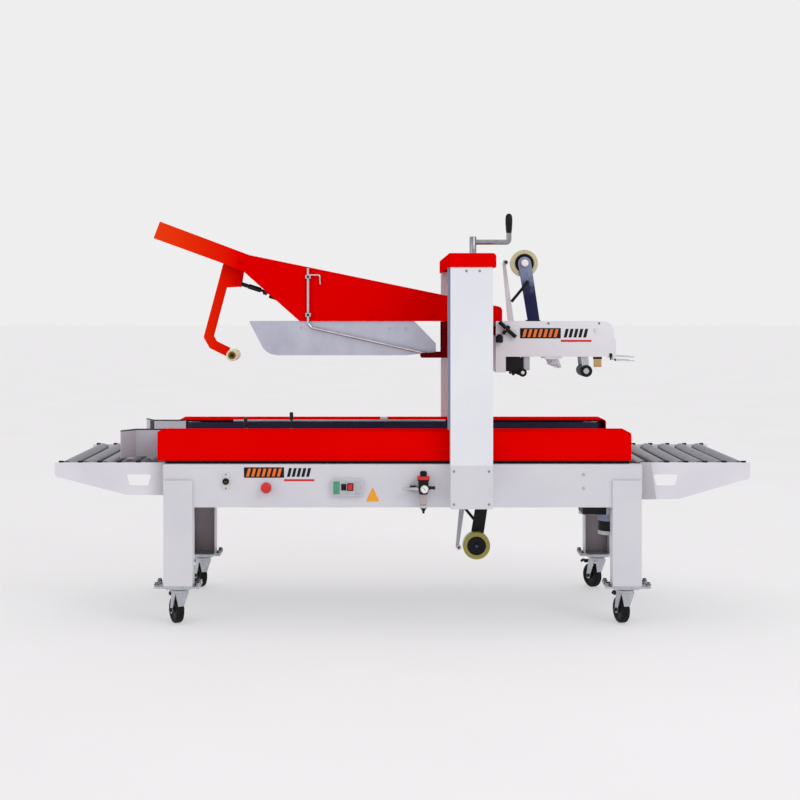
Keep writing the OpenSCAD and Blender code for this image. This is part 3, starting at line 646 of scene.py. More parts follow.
keptFinishes = {
    "bed_frame": "white", "extension_tables": "lilacWhite", "bed_rollers": "roller", "legs": "white",
    "columns": "brightWhite", "top_bridge": "red", "bottom_head_housing": "greyPaint",
    "lead_screw_near": "zinc", "lead_screw_far": "zinc", "head_carriage": "darkRed", "arm_shell": "warmRed",
    "flap_ski": "sheet", "top_head_housing": "brightWhite", "kicker": "warmRed",
    "cylinder_rod": "blackSteel",
    "cylinder_barrel": "black", "top_rear_roller_arm": "zinc", "bottom_rear_roller_arm": "zinc",
    "top_front_roller_arm": "black", "bottom_front_roller_arm": "black",
}
for side, sign in sides:
    keptFinishes.update({
        # the near carriage takes the darker grey and the far twin white: painted shade on the near one
        "belt_guard_" + side: "red", "belt_carriage_" + side: "greyPaint" if side == "near" else "white",
        "drive_belt_" + side: "belt",
        "drive_pulley_" + side: "aluminium", "idler_pulley_" + side: "aluminium"})
for end, along in ends:
    for number in range(1, 5):
        keptFinishes[f"{end}_roller_{number}"] = "roller"
    for side, sign in sides:
        keptFinishes[f"caster_fork_{end}_{side}"] = "zinc"
for node, finish in keptFinishes.items():
    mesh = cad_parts[node].data
    mesh.materials.clear()
    mesh.materials.append(finishes[finish])
print("frame parts painted")

# Side panels, columns and legs

columnTrim = {"coverTop": 606, "proud": 1.6, "inset": 1.5, "guideWidth": 9, "guideFoot": 735}


def makeColumnTrim(trim):
    low, high = cadBox("columns")
    for side, sign in sides:
        face = sign * (high.y + 0.1)
        outline = filleted([(low.x + trim["inset"], low.z + 1), (high.x - trim["inset"], low.z + 1),
                            (high.x - trim["inset"], trim["coverTop"]),
                            (low.x + trim["inset"], trim["coverTop"])],
                           4, closed=True)
        addPiece(f"columnCover_{side}", "frame", "white",
                 [cutPlate(outline, face, face + sign * trim["proud"], 0.5)])
        outer = face + sign * trim["proud"]
        places = [(x, outer, z) for x in (low.x + 12, high.x - 15) for z in (463.7, 585)]
        places += [(x, face, 1322) for x in (234, 283)]
        grow(f"columnScrews_{side}", "frame", "screws", places,
             {"Head radius": 3.6 * mm, "Head height": 1.1 * mm, "Washer radius": 4.6 * mm, "Corners": 20},
             "darkSteel", [(0, sign, 0)] * len(places))
    addPiece("columnGuide", "frame", "motorGrey",
             [softBox((low.x - trim["guideWidth"], -400, trim["guideFoot"]),
                      (low.x - 0.3, -386, high.z - 4), 1.2)])


panelScrewX, panelScrewHeights = 674, (515, 566)


def makePanelScrews():
    panelOuter = cadBox("bed_frame")[1].y
    places = [(panelScrewX, sign * panelOuter, z) for z in panelScrewHeights for sign in (-1, 1)]
    facings = [(0, math.copysign(1, p[1]), 0) for p in places]
    grow("panelScrews", "frame", "screws", places,
         {"Head radius": 4.6 * mm, "Head height": 2.2 * mm, "Washer radius": 6 * mm, "Corners": 20},
         "zinc", facings, replaced=("frame_screws",))


legTrim = {"skin": 0.7, "plateLow": 144, "plateHigh": 150, "outer": 88, "inner": 78, "nutRadius": 8.4,
           "shadeSheetTop": 442}


def makeFootPlates(trim):
    for end, along in ends:
        for side, sign in sides:
            xs = sorted((along * (legX + trim["outer"]), along * (legX - trim["inner"])))
            ys = sorted((sign * (legY - 50), sign * (legY + 50)))
            skin = trim["skin"]
            addPiece(f"footPlate_{end}_{side}", "frame", "zinc",
                     [softBox((xs[0] - skin, ys[0] - skin, trim["plateLow"] - skin),
                              (xs[1] + skin, ys[1] + skin, trim["plateHigh"] + skin), 1.0),
                      softBox((along * legX - 46, sign * legY - 41, 137),
                              (along * legX + 46, sign * legY + 41, 143), 1.0)])
            places = [(along * (legX + dx), sign * (legY + dy), trim["plateHigh"] + 6)
                      for dx in (-70, 80) for dy in (-38, 38)]
            grow(f"footNuts_{end}_{side}", "frame", "screws", places,
                 {"Head radius": trim["nutRadius"] * mm, "Head height": 9 * mm, "Washer radius": 10.5 * mm,
                  "Corners": 6}, "blackSteel", [(0, 0, 1)] * 4)
            # darker sheet on each leg from the foot plate up to the panels' lower edge: painted shade
            ys = sorted((sign * 380, sign * 380.9))
            addPiece(f"legShadeSheet_{end}_{side}", "frame", "legShade",
                     [softBox((along * legX - 49.9, ys[0], 150.8),
                              (along * legX + 49.9, ys[1], trim["shadeSheetTop"]), 0.2)])


makeColumnTrim(columnTrim)
makePanelScrews()
makeFootPlates(legTrim)
print("columns, panels and feet trimmed")

# Casters

casterShape = {
    "wheel": 50, "halfWidth": 16, "trail": 33, "hub": 30, "dish": 4,
    "turns": {"infeed_near": -62, "infeed_far": -62, "outfeed_near": -75, "outfeed_far": -62},
}


def makeCasters(shape):
    r, w = shape["wheel"], shape["halfWidth"]
    tyre = [(-w + 3, shape["hub"]), (-w + 0.5, shape["hub"] + 3), (-w, r - 9), (-w + 2.2, r - 3),
            (-w + 5, r - 0.8),
            (-w + 8, r), (w - 8, r), (w - 5, r - 0.8), (w - 2.2, r - 3), (w, r - 9),
            (w - 0.5, shape["hub"] + 3),
            (w - 3, shape["hub"])]
    hub = [(-w + 2, 7), (-w + 1, 11), (-w + shape["dish"], 13), (-w + shape["dish"] + 1, shape["hub"] - 4),
           (-w + 2.6, shape["hub"] - 1), (-w + 2.6, shape["hub"] + 0.6), (w - 2.6, shape["hub"] + 0.6),
           (w - 2.6, shape["hub"] - 1), (w - shape["dish"] - 1, shape["hub"] - 4), (w - shape["dish"], 13),
           (w - 1, 11), (w - 2, 7)]
    for end, along in ends:
        for side, sign in sides:
            name = f"{end}_{side}"
            turn = math.radians(shape["turns"][name])
            centre = Vector((along * legX - shape["trail"] * math.cos(turn),
                             sign * legY - shape["trail"] * math.sin(turn), r))
            axle = Vector((-math.sin(turn), math.cos(turn), 0))
            addPiece("tyre_" + name, "caster_wheel_" + name, "tyre",
                     [turned(tyre, centre, axle, 48, closed=True)],
                     ("caster_wheel_" + name,))
            addPiece("wheelHub_" + name, "caster_wheel_" + name, "blackPlastic",
                     [turned(hub, centre, axle, 40, closed=True)])
            fork = "caster_fork_" + name
            race = [(0, 31), (1.5, 33.5), (9, 34), (12, 31.5), (13.6, 27), (13.6, 9), (0, 9)]
            addPiece("swivelRace_" + name, fork, "zinc",
                     [turned(race, (along * legX, sign * legY, 121.4), "Z", 48, closed=True)])
            bolt = [(-29, 0), (-29, 7), (-25, 8), (-22.2, 8), (-22.2, 5.5), (22.2, 5.5), (22.2, 9.5),
                    (28, 9), (29, 0)]
            addPiece("axleBolt_" + name, fork, "blackSteel", [turned(bolt, centre, axle, 6)])
            outward = Vector((math.cos(turn), math.sin(turn), 0))
            pedalRoot = centre - outward * 30 + Vector((0, 0, 56))
            pedalTip = centre - outward * 68 + Vector((0, 0, 54))
            pedal = bentRod([pedalRoot + outward * 14, pedalRoot, pedalTip,
                             pedalTip - outward * 9 + Vector((0, 0, -8))],
                            5.5, 8, 10)
            pad = turned([(-18, 0), (-18, 6.5), (-17, 7.5), (17, 7.5), (18, 6.5), (18, 0)], pedalRoot, axle,
                         20)
            addPiece("brakePedal_" + name, fork, "blackPlastic", [pedal, pad])


makeCasters(casterShape)
print("casters built")

# Controls on the near panel

controlShape = {
    "box": {"x": (-264, -148), "y": (-397, panelFace), "z": (489, 550), "ease": 3},
    "start": (-218, 522), "stop": (-194, 522), "cap": (17, 22), "emergency": (-506, 519),
    "socket": (-657, 541),
    "label": {"x": (-257, -233), "z": (496, 543)},
}


def makeControls(shape):
    box = shape["box"]
    w, h = shape["cap"]
    holes = [rectOutline(x - w / 2 - 0.6, x + w / 2 + 0.6, z - h / 2 - 0.6, z + h / 2 + 0.6, 2)
             for x, z in (shape["start"], shape["stop"])]
    outline = filleted([(box["x"][0], box["z"][0]), (box["x"][1], box["z"][0]), (box["x"][1], box["z"][1]),
                        (box["x"][0], box["z"][1])], box["ease"], closed=True)
    addPiece("controlBoxShell", "frame", "greyPlastic",
             [cutPlate(outline, box["y"][0] + 1.5, box["y"][1], 1.2, holes)],
             ("control_box",))
    plate = filleted([(box["x"][0] + 4, box["z"][0] + 4), (box["x"][1] - 4, box["z"][0] + 4),
                      (box["x"][1] - 4, box["z"][1] - 4), (box["x"][0] + 4, box["z"][1] - 4)], 3,
                     closed=True)
    addPiece("controlBoxFace", "frame", "zinc",
             [cutPlate(plate, box["y"][0], box["y"][0] + 1.4, 0.4, holes)])
    left, right = shape["label"]["x"]
    foot, head = shape["label"]["z"]
    film = filleted([(left, foot), (right, foot), (right, head), (left, head)], 2, closed=True)
    addPiece("controlLabel", "frame", "greenPlate", [cutPlate(film, box["y"][0] - 0.5, box["y"][0], 0.15)])
    for name, finish, at in (("start", "blackPlastic", shape["start"]),
                             ("stop", "redPlastic", shape["stop"])):
        face = box["y"][0]
        x, z = at
        collar = cutPlate(rectOutline(x - w / 2 - 2.9, x + w / 2 + 2.9, z - h / 2 - 3.2, z + h / 2 + 3.2,
                                      3),
                          face - 2.6, face - 0.1, 0.8, [holes[0 if name == "start" else 1]])
        addPiece(name + "ButtonCollar", "frame", "blackPlastic" if name == "stop" else "zinc", [collar])
        addPiece(name + "ButtonCap", name + "_button", finish,
                 [softBox((x - w / 2, face - 5.8, z - h / 2), (x + w / 2, face + 4.5, z + h / 2), 1.6, 3)],
                 (name + "_button",))
    x, z = shape["emergency"]
    ring = [(0, 10.4), (-1.2, 10.4), (-7.4, 12), (-8, 20), (-6.4, 23), (-2, 24), (0, 24)]
    addPiece("emergencyRing", "frame", "greyPlastic", [turned(ring, (x, panelFace, z), "Y", 48, True)])
    mushroom = [(-7.4, 0), (-7.4, 9.6), (-16.5, 9.6), (-16.4, 18), (-18, 19.8), (-23, 19.9), (-29, 18.6),
                (-32.4, 15.6),
                (-33.8, 11.5), (-33.0, 9.8), (-33.4, 4), (-33.6, 0)]
    addPiece("emergencyMushroom", "emergency_stop", "redPlastic",
             [turned(mushroom, (x, panelFace, z), "Y", 48)],
             ("emergency_stop",))
    x, z = shape["socket"]
    socket = [(0, 0), (0, 12), (-2, 12.6), (-3.5, 12.2), (-11, 11.4), (-12, 10.4), (-12, 7.6), (-6, 7.2),
              (-6, 0)]
    addPiece("powerSocketPlate", "frame", "white",
             [softBox((x - 12, -380.5, z - 32), (x + 12, panelFace, z + 31), 1.4)])
    addPiece("powerSocket", "frame", "blackPlastic", [turned(socket, (x, -380, z), "Y", 36)])
    grow("socketScrews", "frame", "screws", [(x, -380.6, z - 26), (x, -380.6, z + 26)],
         {"Head radius": 2.8 * mm, "Head height": 2.4 * mm, "Washer radius": 3.4 * mm, "Corners": 18},
         "darkSteel", [(0, -1, 0)] * 2)
    grow("socketPins", "frame", "screws", [(x - 3.4, -386, z), (x + 3.4, -386, z), (x, -386, z - 4)],
         {"Head radius": 1.3 * mm, "Head height": 5 * mm, "Washer radius": 1.6 * mm, "Corners": 12},
         "brass", [(0, -1, 0)] * 3)


regulatorShape = {"x": 77, "y": -410, "body": (504, 551), "gauge": (80, 519), "gaugeRadius": 17.5}


def makeRegulator(shape):
    x, y = shape["x"], shape["y"]
    foot, head = shape["body"]
    knob = [(546, 0), (546, 20), (547, 21.5), (552, 22), (552, 13), (561, 12.5), (562, 12.2), (580, 11.4),
            (583, 9.5),
            (583, 0)]
    addPiece("regulatorKnob", "frame", "blackPlastic", [turned(knob, (x, y, 0), "Z", 44)],
             ("air_regulator",))
    ribs = [(x + 11.8 * math.cos(a), y + 11.8 * math.sin(a),
             571) for a in (math.tau * k / 18 for k in range(18))]
    grow("regulatorKnobRibs", "frame", "screws", ribs,
         {"Head radius": 1.3 * mm, "Head height": 9 * mm, "Washer radius": 1.3 * mm, "Corners": 8},
         "blackPlastic", [(0, 0, 1)] * len(ribs))
    ring = [(552.4, 12), (552.4, 22.4), (553.6, 23.6), (563.2, 23.6), (564.4, 22.4), (564.4, 12)]
    addPiece("regulatorRing", "frame", "redPlastic", [turned(ring, (x, y, 0), "Z", 44, True)])
    body = [softBox((x - 18.5, y - 17, foot + 3), (x + 18.5, y + 18, head), 3),
            turned([(foot - 6, 0), (foot - 6, 15), (foot - 4, 16.6), (foot + 4, 16.6), (foot + 4, 0)],
                   (x, y, 0), "Z", 36),
            softBox((x - 50, y + 5, 508), (x - 26, panelFace, 526), 2)]
    addPiece("regulatorBody", "frame", "blackPlastic", body)
    bowl = [(497.5, 13.8), (462, 13.8), (458, 12), (456.4, 8), (456.4, 0)]
    inside = [(457.8, 0), (457.8, 7.4), (459, 10.6), (463, 12.3), (497.5, 12.3)]
    addPiece("regulatorBowl", "frame", "bowl", [turned(bowl + inside, (x, y, 0), "Z", 36, True)])
    drain = [(447.4, 0), (447.4, 12.6), (444.5, 12), (444, 8), (437, 7.4), (436, 4.6), (427, 4),
             (426.2, 2.4),
             (426.2, 0)]
    addPiece("regulatorDrain", "frame", "blackPlastic", [turned(drain, (x, y, 0), "Z", 36)])
    cup = [(457, 0), (457, 14.6), (455.5, 15), (449, 15), (447.4, 13.6), (447.4, 0)]
    addPiece("regulatorCup", "frame", "greyPlastic", [turned(cup, (x, y, 0), "Z", 36)])
    gx, gz = shape["gauge"]
    r = shape["gaugeRadius"]
    case = [(-16, 0), (-16, r - 2), (-18, r - 0.4), (-25.4, r - 0.2), (-26.8, r - 1.4), (-26.8, r - 2.4),
            (-25.6, r - 2.8), (-25.2, 0)]
    addPiece("gaugeCase", "frame", "blackPlastic", [turned(case, (gx, y, gz), "Y", 44)])
    addPiece("gaugeDial", "frame", "whitePlastic",
             [turned([(-25.3, 0), (-25.3, r - 2.9), (-25.8, r - 3.1), (-25.8, 0)], (gx, y, gz), "Y", 40)])
    ticks = [(gx + (r - 5.4) * math.cos(a), y - 25.8, gz + (r - 5.4) * math.sin(a))
             for a in (math.radians(225 - 27 * k) for k in range(11))]
    grow("gaugeTicks", "frame", "screws", ticks,
         {"Head radius": 0.8 * mm, "Head height": 0.4 * mm, "Washer radius": 0.8 * mm, "Corners": 8},
         "blackPlastic", [(0, -1, 0)] * 11)
    needle = linkOutline((gx + 3, gz - 3), (gx - 7, gz + 7), 1.1, 0.4, 6)
    addPiece("gaugeNeedle", "frame", "bluePlastic", [cutPlate(needle, y - 26.6, y - 26.2, 0.1)])
    left = [(x - 18, 0), (x - 18, 7.4), (x - 30, 7.4), (x - 31, 6.4), (x - 52, 6.2), (x - 53, 7.6),
            (x - 62, 7.6),
            (x - 63, 5.4), (x - 76, 5), (x - 77.5, 3.8), (x - 77.5, 0)]
    right = [(x + 18, 0), (x + 18, 7), (x + 28, 7), (x + 29, 5.8), (x + 36, 5.8), (x + 37, 7),
             (x + 43, 6.4), (x + 43, 0)]
    addPiece("regulatorInlet", "frame", "zinc", [turned(left, (0, y, 516.5), "X", 28)])
    addPiece("regulatorOutlet", "frame", "blackSteel", [turned(right, (0, y, 521), "X", 28)])


makeControls(controlShape)
makeRegulator(regulatorShape)
print("controls and air supply built")

# Tape arms and rolls of both heads

headTwin = {"shift": -190, "fold": 1604}
tapeShape = {"roll": (490, 1364), "radius": 54, "core": 37, "foot": (526, 1134), "armWidth": 48, "half": 25}


# Turns a shape of the upper head over to where its lower twin stands
def twinned(mesh, twin=headTwin):
    mesh.transform(Matrix.Translation((twin["shift"] * mm, 0, twin["fold"] * mm)) @ Matrix.Diagonal((1, -1,
                                                                                                     -1,
                                                                                                     1)))
    return mesh


def makeTapeGear(shape, names):
    turnOver = twinned if names["lower"] else (lambda mesh: mesh)
    cx, cz = shape["roll"]
    half, r, core = shape["half"], shape["radius"], shape["core"]
    centre = (cx, 0, cz) if not names["lower"] else (cx + headTwin["shift"], 0, headTwin["fold"] - cz)
    film = woundFilm(names["filmName"], names["film"], names["filmShade"], centre)
    wound = [(-half, core + 2.4), (-half, r - 0.5), (-half + 0.8, r), (half - 0.8, r), (half, r - 0.5),
             (half, core + 2.4)]
    addPiece(names["roll"] + "Film", names["roll"], film,
             [turnOver(turned(wound, (cx, 0, cz), "Y", 64, True))], (names["rollNode"],))
    card = [(-half + 0.3, core), (-half + 0.3, core + 2.4), (half - 0.3, core + 2.4), (half - 0.3, core)]
    addPiece(names["roll"] + "Core", names["roll"], "card",
             [turnOver(turned(card, (cx, 0, cz), "Y", 56, True))])
    hub = [(-half + 2, 9.2), (-half + 1, 14), (-half + 6, 17), (-half + 6, 28), (-half + 1, 31),
           (-half - 0.6, core - 0.5),
           (-half + 3, core), (half - 3, core), (half - 1, core - 2), (half - 4, 28), (half - 4, 17),
           (half - 2, 9.2)]
    addPiece(names["roll"] + "Hub", names["roll"], "blackPlastic",
             [turnOver(turned(hub, (cx, 0, cz), "Y", 56, True))])
    spring = [(cx + 24 * math.cos(a), -half + 4.6,
               cz + 24 * math.sin(a)) for a in (math.tau * k / 3 for k in range(3))]
    fins = [softBox((px - 3, py - 3.4, pz - 3), (px + 3, py + 1, pz + 3), 1) for px, py, pz in spring]
    addPiece(names["roll"] + "HubCatches", names["roll"], "blackSteel", [turnOver(f) for f in fins])
    arm = linkOutline(shape["foot"], (cx, cz), shape["armWidth"] / 2, shape["armWidth"] / 2 + 2, 18)
    footEdge = shape["foot"][1]
    arm = [(ax, max(az, footEdge)) for ax, az in arm]
    plates = [turnOver(cutPlate(arm, -half - 9, -half - 3, 1.4)),
              turnOver(softBox((500, -half - 9, footEdge), (552, half + 9, footEdge + 5), 1)),
              turnOver(turned([(-half - 14, 0), (-half - 14, 8.8), (half + 5, 8.8), (half + 6, 8),
                               (half + 6, 0)],
                              (cx, 0, cz), "Y", 32))]
    addPiece(names["arm"], names["body"], names["armFinish"], plates, (names["armNode"],))
    if names["lower"]:
        stub = [(half + 5, 0), (half + 5, 6.4), (half + 9, 6), (half + 10, 4), (half + 10, 0)]
        addPiece(names["arm"] + "Cap", names["body"], "bluePlastic",
                 [turnOver(turned(stub, (cx, 0, cz), "Y", 32))])
    else:
        knob = [(-half - 9, 0), (-half - 9, 14.5), (-half - 14, 15), (-half - 20, 14), (-half - 23, 11.5),
                (-half - 24, 7), (-half - 24, 0)]
        addPiece(names["arm"] + "Knob", names["body"], "whitePlastic", [turned(knob, (cx, 0, cz), "Y", 40)])
    lever = bentRod([(503, -half - 16, 1293), (495, -half - 16, 1281), (437, -half - 16, 1211)], 6, 10, 12)
    pivot = turned([(-half - 18, 0), (-half - 18, 6.4), (-half - 17, 7.4), (-half - 9, 7.4),
                    (-half - 9, 0)],
                   (499, 0, 1286), "Y", 28)
    addPiece(names["arm"] + "Lever", names["body"], "blackPlastic", [turnOver(lever), turnOver(pivot)])
    guide = filleted([(428, footEdge), (453, footEdge), (419, 1370), (406, 1370)], [0, 0, 5, 5],
                     closed=True)
    addPiece(names["arm"] + "Guide", names["body"], names["guideFinish"],
             [turnOver(cutPlate(guide, half - 2, half + 2, 0.7))])
    pin = turned([(-half, 0), (-half, 4), (-half + 1, 5), (half + 1, 5), (half + 1.6, 4.4), (half + 7, 4.4),
                  (half + 7, 0)],
                 (419, 0, 1369), "Y", 28)
    addPiece(names["arm"] + "GuidePin", names["body"], "blackPlastic", [turnOver(pin)])
    eye = turned([(half + 1.8, 4.6), (half + 1.8, 10.4), (half + 5.6, 10.4), (half + 6, 9.6),
                  (half + 6, 4.6)],
                 (419, 0, 1369), "Y", 32, True)
    addPiece(names["arm"] + "GuideEye", names["body"], "zinc", [turnOver(eye)])


# the blue-grey head of the top tape arm is painted reflection on dark navy paint
finishes["navyWithReflection"] = reflectionGradedPaint("navyPaintedReflection", "#7C88A6", "#06083E", 1345, 1225)
makeTapeGear(tapeShape, {
    "lower": False, "roll": "top_tape_roll", "rollNode": "top_tape_roll", "filmName": "clearTapeFilm",
    "film": "#CDCBA6", "filmShade": "#AFAE80", "filmSlot": "tape_film", "arm": "topTapeArm",
    "armNode": "top_tape_arm",
    "armFinish": "navyWithReflection", "armSlot": "navy_paint", "body": "head", "guideFinish": "coolWhite"})
makeTapeGear(tapeShape, {
    "lower": True, "roll": "bottom_tape_roll", "rollNode": "bottom_tape_roll", "filmName": "brownTapeFilm",
    "film": "#B0AC3C", "filmShade": "#8A8622", "filmSlot": "brown_tape", "arm": "bottomTapeArm",
    "armNode": "bottom_tape_arm", "armFinish": "black", "armSlot": "black_paint", "body": "frame",
    "guideFinish": "greyPaint"})
print("tape arms and rolls built")

# Upper head fittings

headFittings = {"nearFace": -70, "wireY": 54}


def makeHeadFittings(shape):
    face = shape["nearFace"]
    for side, sign in sides:
        y = sign * abs(face)
        places = [(580, y, 1126), (780, y, 1126)]
        grow(f"headScrews_{side}", "head", "screws", places,
             {"Head radius": 3.6 * mm, "Head height": 3 * mm, "Washer radius": 4.6 * mm, "Corners": 20},
             "blackSteel", [(0, sign, 0)] * 2)
        grow(f"headBolt_{side}", "head", "screws", [(767, y, 1099), (826, y, 1002), (826, y, 988 + 8)],
             {"Head radius": 5.4 * mm, "Head height": 4 * mm, "Washer radius": 6.4 * mm, "Corners": 6},
             "blackSteel", [(0, sign, 0)] * 3)
    # roller guards, rubbing plate and felt wiper under the housing
    plates = [rectOutline(398, 482, 936, 991, 7), rectOutline(484, 507, 940, 996, 3)]
    wheel = [(61.4, 7), (61.4, 15), (62.4, 16.4), (66.6, 16.4), (67.6, 15), (67.6, 7)]
    hubCap = [(61.2, 0), (61.2, 7.2), (67.2, 7.2), (68.4, 5.5), (68.4, 0)]
    for side, sign in sides:
        ys = sorted((sign * 57.8, sign * 61))
        addPiece(f"frontRollerGuard_{side}", "top_front_roller", "blackPlastic",
                 [cutPlate(plates[0], *ys, 1.0)])
        addPiece(f"frontRollerHub_{side}", "top_front_roller", "whitePlastic",
                 [turned([(sign * a, b) for a, b in hubCap], (479, 0, 931), "Y", 28)])
        addPiece(f"frontRollerWheel_{side}", "top_front_roller", "blackPlastic",
                 [turned([(sign * a, b) for a, b in wheel], (479, 0, 931), "Y", 36, True),
                  turned([(sign * 58, 0), (sign * 58, 6), (sign * 64, 6), (sign * 64, 0)], (442, 0, 926),
                         "Y", 24)])
        ys = sorted((sign * 62.4, sign * 65.4))
        addPiece(f"rubbingPlate_{side}", "head", "greyPaint", [cutPlate(plates[1], *ys, 0.8)])
    addPiece("feltWiper", "head", "beige", [softBox((760, face + 3, 953), (790, -56, 995), 1.5)])
    addPiece("wiperClamp", "head", "blackSteel", [softBox((758, face + 3, 984), (792, -55, 993), 1)])
    for side, sign in sides:
        y = sign * shape["wireY"]
        wires = [bentRod([(847, y, 996), (921, y, 993)], 2.1, 6, 10),
                 bentRod([(847, y, 981), (921, y, 978)], 2.1, 6, 10)]
        addPiece(f"tapeGuardWires_{side}", "head", "chrome", wires)
        addPiece(f"tapeGuardPost_{side}", "head", "blackPlastic",
                 [bentRod([(846, y, 1062), (846, y, 977)], 3.2, 6, 12)])
    # clamp that locks the head's height
    y = face - 14
    lever = bentRod([(386, y, 1132), (396, y, 1122), (436, y, 1084), (450, y, 1072)], 8, 12, 14)
    crossBar = bentRod([(400, y, 1084), (424, y, 1115)], 7, 4, 12)
    addPiece("lockLever", "head", "blackPlastic", [lever, crossBar])
    bolt = turned([(face + 1, 0), (face + 1, 7), (face - 18, 7), (face - 20, 5.5), (face - 20, 0)],
                  (412, 0, 1101), "Y", 24)
    addPiece("lockBolt", "head", "zinc", [bolt])
    addPiece("clampBlock", "head", "blackPlastic",
             [softBox((371, face - 27, 1050), (399, face + 0.5, 1077), 3),
              turned([(0, 0), (0, 9), (5, 9), (6, 8), (6, 0)], (385, face - 22, 1077), "Z", 24)])


# Rubber tread and hub that show outside the arms of the rear roller
def makeRearRollerEnds(place=rollerAxles["rear"]):
    outer = cadBox("top_rear_roller_arm")[1].y
    tread = [(0.4, 12.5), (0.4, 22.4), (1.6, 23.6), (5.6, 23.6), (6.6, 22.4), (6.6, 12.5)]
    hub = [(0.4, 0), (0.4, 11.8), (5.4, 11.8), (6, 11), (6, 7), (8.6, 6.4), (8.6, 0)]
    for side, sign in sides:
        for name, finish, profile, slotName, closed in (
                ("Tread", "blackPlastic", tread, "black_plastic", True),
            ("Hub", "zinc", hub, "zinc", False)):
            shape = turned([(sign * (outer + a), b) for a, b in profile], (place[0], 0, place[1]), "Y", 40,
                           closed)
            addPiece(f"rearRoller{name}_{side}", "top_rear_roller", finish, [shape])


def makeKnife(y=44):
    blade = [(566, 990), (574, 999), (634, 999), (634, 990), (622, 985), (634, 955), (630, 948), (616, 962),
             (600, 958), (590, 968),
             (598, 980), (576, 984)]
    for side, sign in sides:
        ys = sorted((sign * y, sign * (y + 3)))
        addPiece(f"knifeSide_{side}", "head", "zinc",
                 [cutPlate(blade, ys[0], ys[1], 0.4, [(612, 976, 3.4)])])
    addPiece("knifeSpringPin", "head", "zinc",
             [turned([(-50, 0), (-50, 5), (-47, 5), (-47, 3), (47, 3), (47, 5), (50, 5), (50, 0)],
                     (612, 0, 976), "Y", 20)])


makeHeadFittings(headFittings)
makeRearRollerEnds()
makeKnife()
print("upper head fitted")

# Roller arms: rubber sleeves over the swinging rollers


def makeHeadRollers():
    rollers = [(f"{head}_{row}_roller", rollerAxles[row], head == "bottom")
               for head in ("top", "bottom") for row in ("front", "rear")]
    for body, place, lower in rollers:
        half, r = 49.6, 23.6
        sleeve = [(-half, 9), (-half, r - 2), (-half + 1.6, r)]
        for k in range(9):
            y = -half + 6 + k * (2 * half - 12) / 8
            sleeve += [(y - 1.4, r), (y - 0.7, r - 1), (y + 0.7, r - 1), (y + 1.4, r)]
        sleeve += [(half - 1.6, r), (half, r - 2), (half, 9)]
        mesh = turned(sleeve, (place[0], 0, place[1]), "Y", 44, True)
        addPiece(body + "Sleeve", body, "blackPlastic", [twinned(mesh) if lower else mesh])
        cap = [(-57.4, 0), (-57.4, 6.5), (-56, 8.6), (-55.2, 8.6), (-55.2, 0)]
        mirrored = [(-a, b) for a, b in cap]
        shapes = [turned(cap, (place[0], 0, place[1]), "Y", 6),
                  turned(mirrored, (place[0], 0, place[1]), "Y", 6)]
        addPiece(body + "AxleBolts", body, "zinc", [twinned(s) if lower else s for s in shapes])


makeHeadRollers()
print("head rollers built")

# Folding arm, shoe, rods and kicker

armFittings = {"half": 60, "shoeHalf": 48, "rodY": 68, "rodX": -368}


def makeArmFittings(shape):
    half = shape["half"]
    for side, sign in sides:
        y = sign * half
        grow(f"armBolts_{side}", "head", "screws", [(-121, y + sign * 3, 1155), (119, y + sign * 3, 1155)],
             {"Head radius": 5 * mm, "Head height": 4 * mm, "Washer radius": 7 * mm, "Corners": 6},
             "warmRed", [(0, sign, 0)] * 2)
        grow(f"kickerPivotBolt_{side}", "head", "screws", [(-632, y + sign * 5, 1374)],
             {"Head radius": 8 * mm, "Head height": 5 * mm, "Washer radius": 11 * mm, "Corners": 6},
             "warmRed", [(0, sign, 0)])
        s = sign * shape["shoeHalf"]
        grow(f"shoeScrews_{side}", "head", "screws", [(-396, s, 1106), (-47, s, 1105), (19.6, s, 1105)],
             {"Head radius": 5 * mm, "Head height": 3.4 * mm, "Washer radius": 6.4 * mm, "Corners": 20},
             "zinc", [(0, sign, 0)] * 3)
        r = sign * shape["rodY"]
        x = shape["rodX"]
        path = [(x, r, 1343), (x, r, 1124), (x + 14, r, 1108), (112, r, 1003.5)]
        replaced = ("fold_rods",) if side == "near" else ()
        addPiece(f"foldRod_{side}", "head", "chrome", [bentRod(path, 5.6, 16, 18)], replaced)
        clamps = []
        for z in (1159, 1309):
            ys = sorted((sign * half, r + sign * 8))
            clamps.append(softBox((x - 11, ys[0], z - 8), (x + 11, ys[1], z + 8), 3))
        addPiece(f"foldRodClamps_{side}", "head", "zinc", clamps)
        lever = bentRod([(x, r, 1316), (x + 46, r, 1316), (x + 48, r, 1280)], 3.4, 8, 12)
        addPiece(f"foldRodLever_{side}", "head", "chrome", [lever])
        knobs = [(x, r + sign * 8, 1159), (x, r + sign * 8, 1309)]
        grow(f"foldRodScrews_{side}", "head", "screws", knobs,
             {"Head radius": 4 * mm, "Head height": 3 * mm, "Washer radius": 5 * mm, "Corners": 6},
             "blackSteel", [(0, sign, 0)] * 2)


kickerShape = {"pin": (-665, 1291), "tip": (-669, 999), "sleeve": (8, 64), "radius": 22.6}


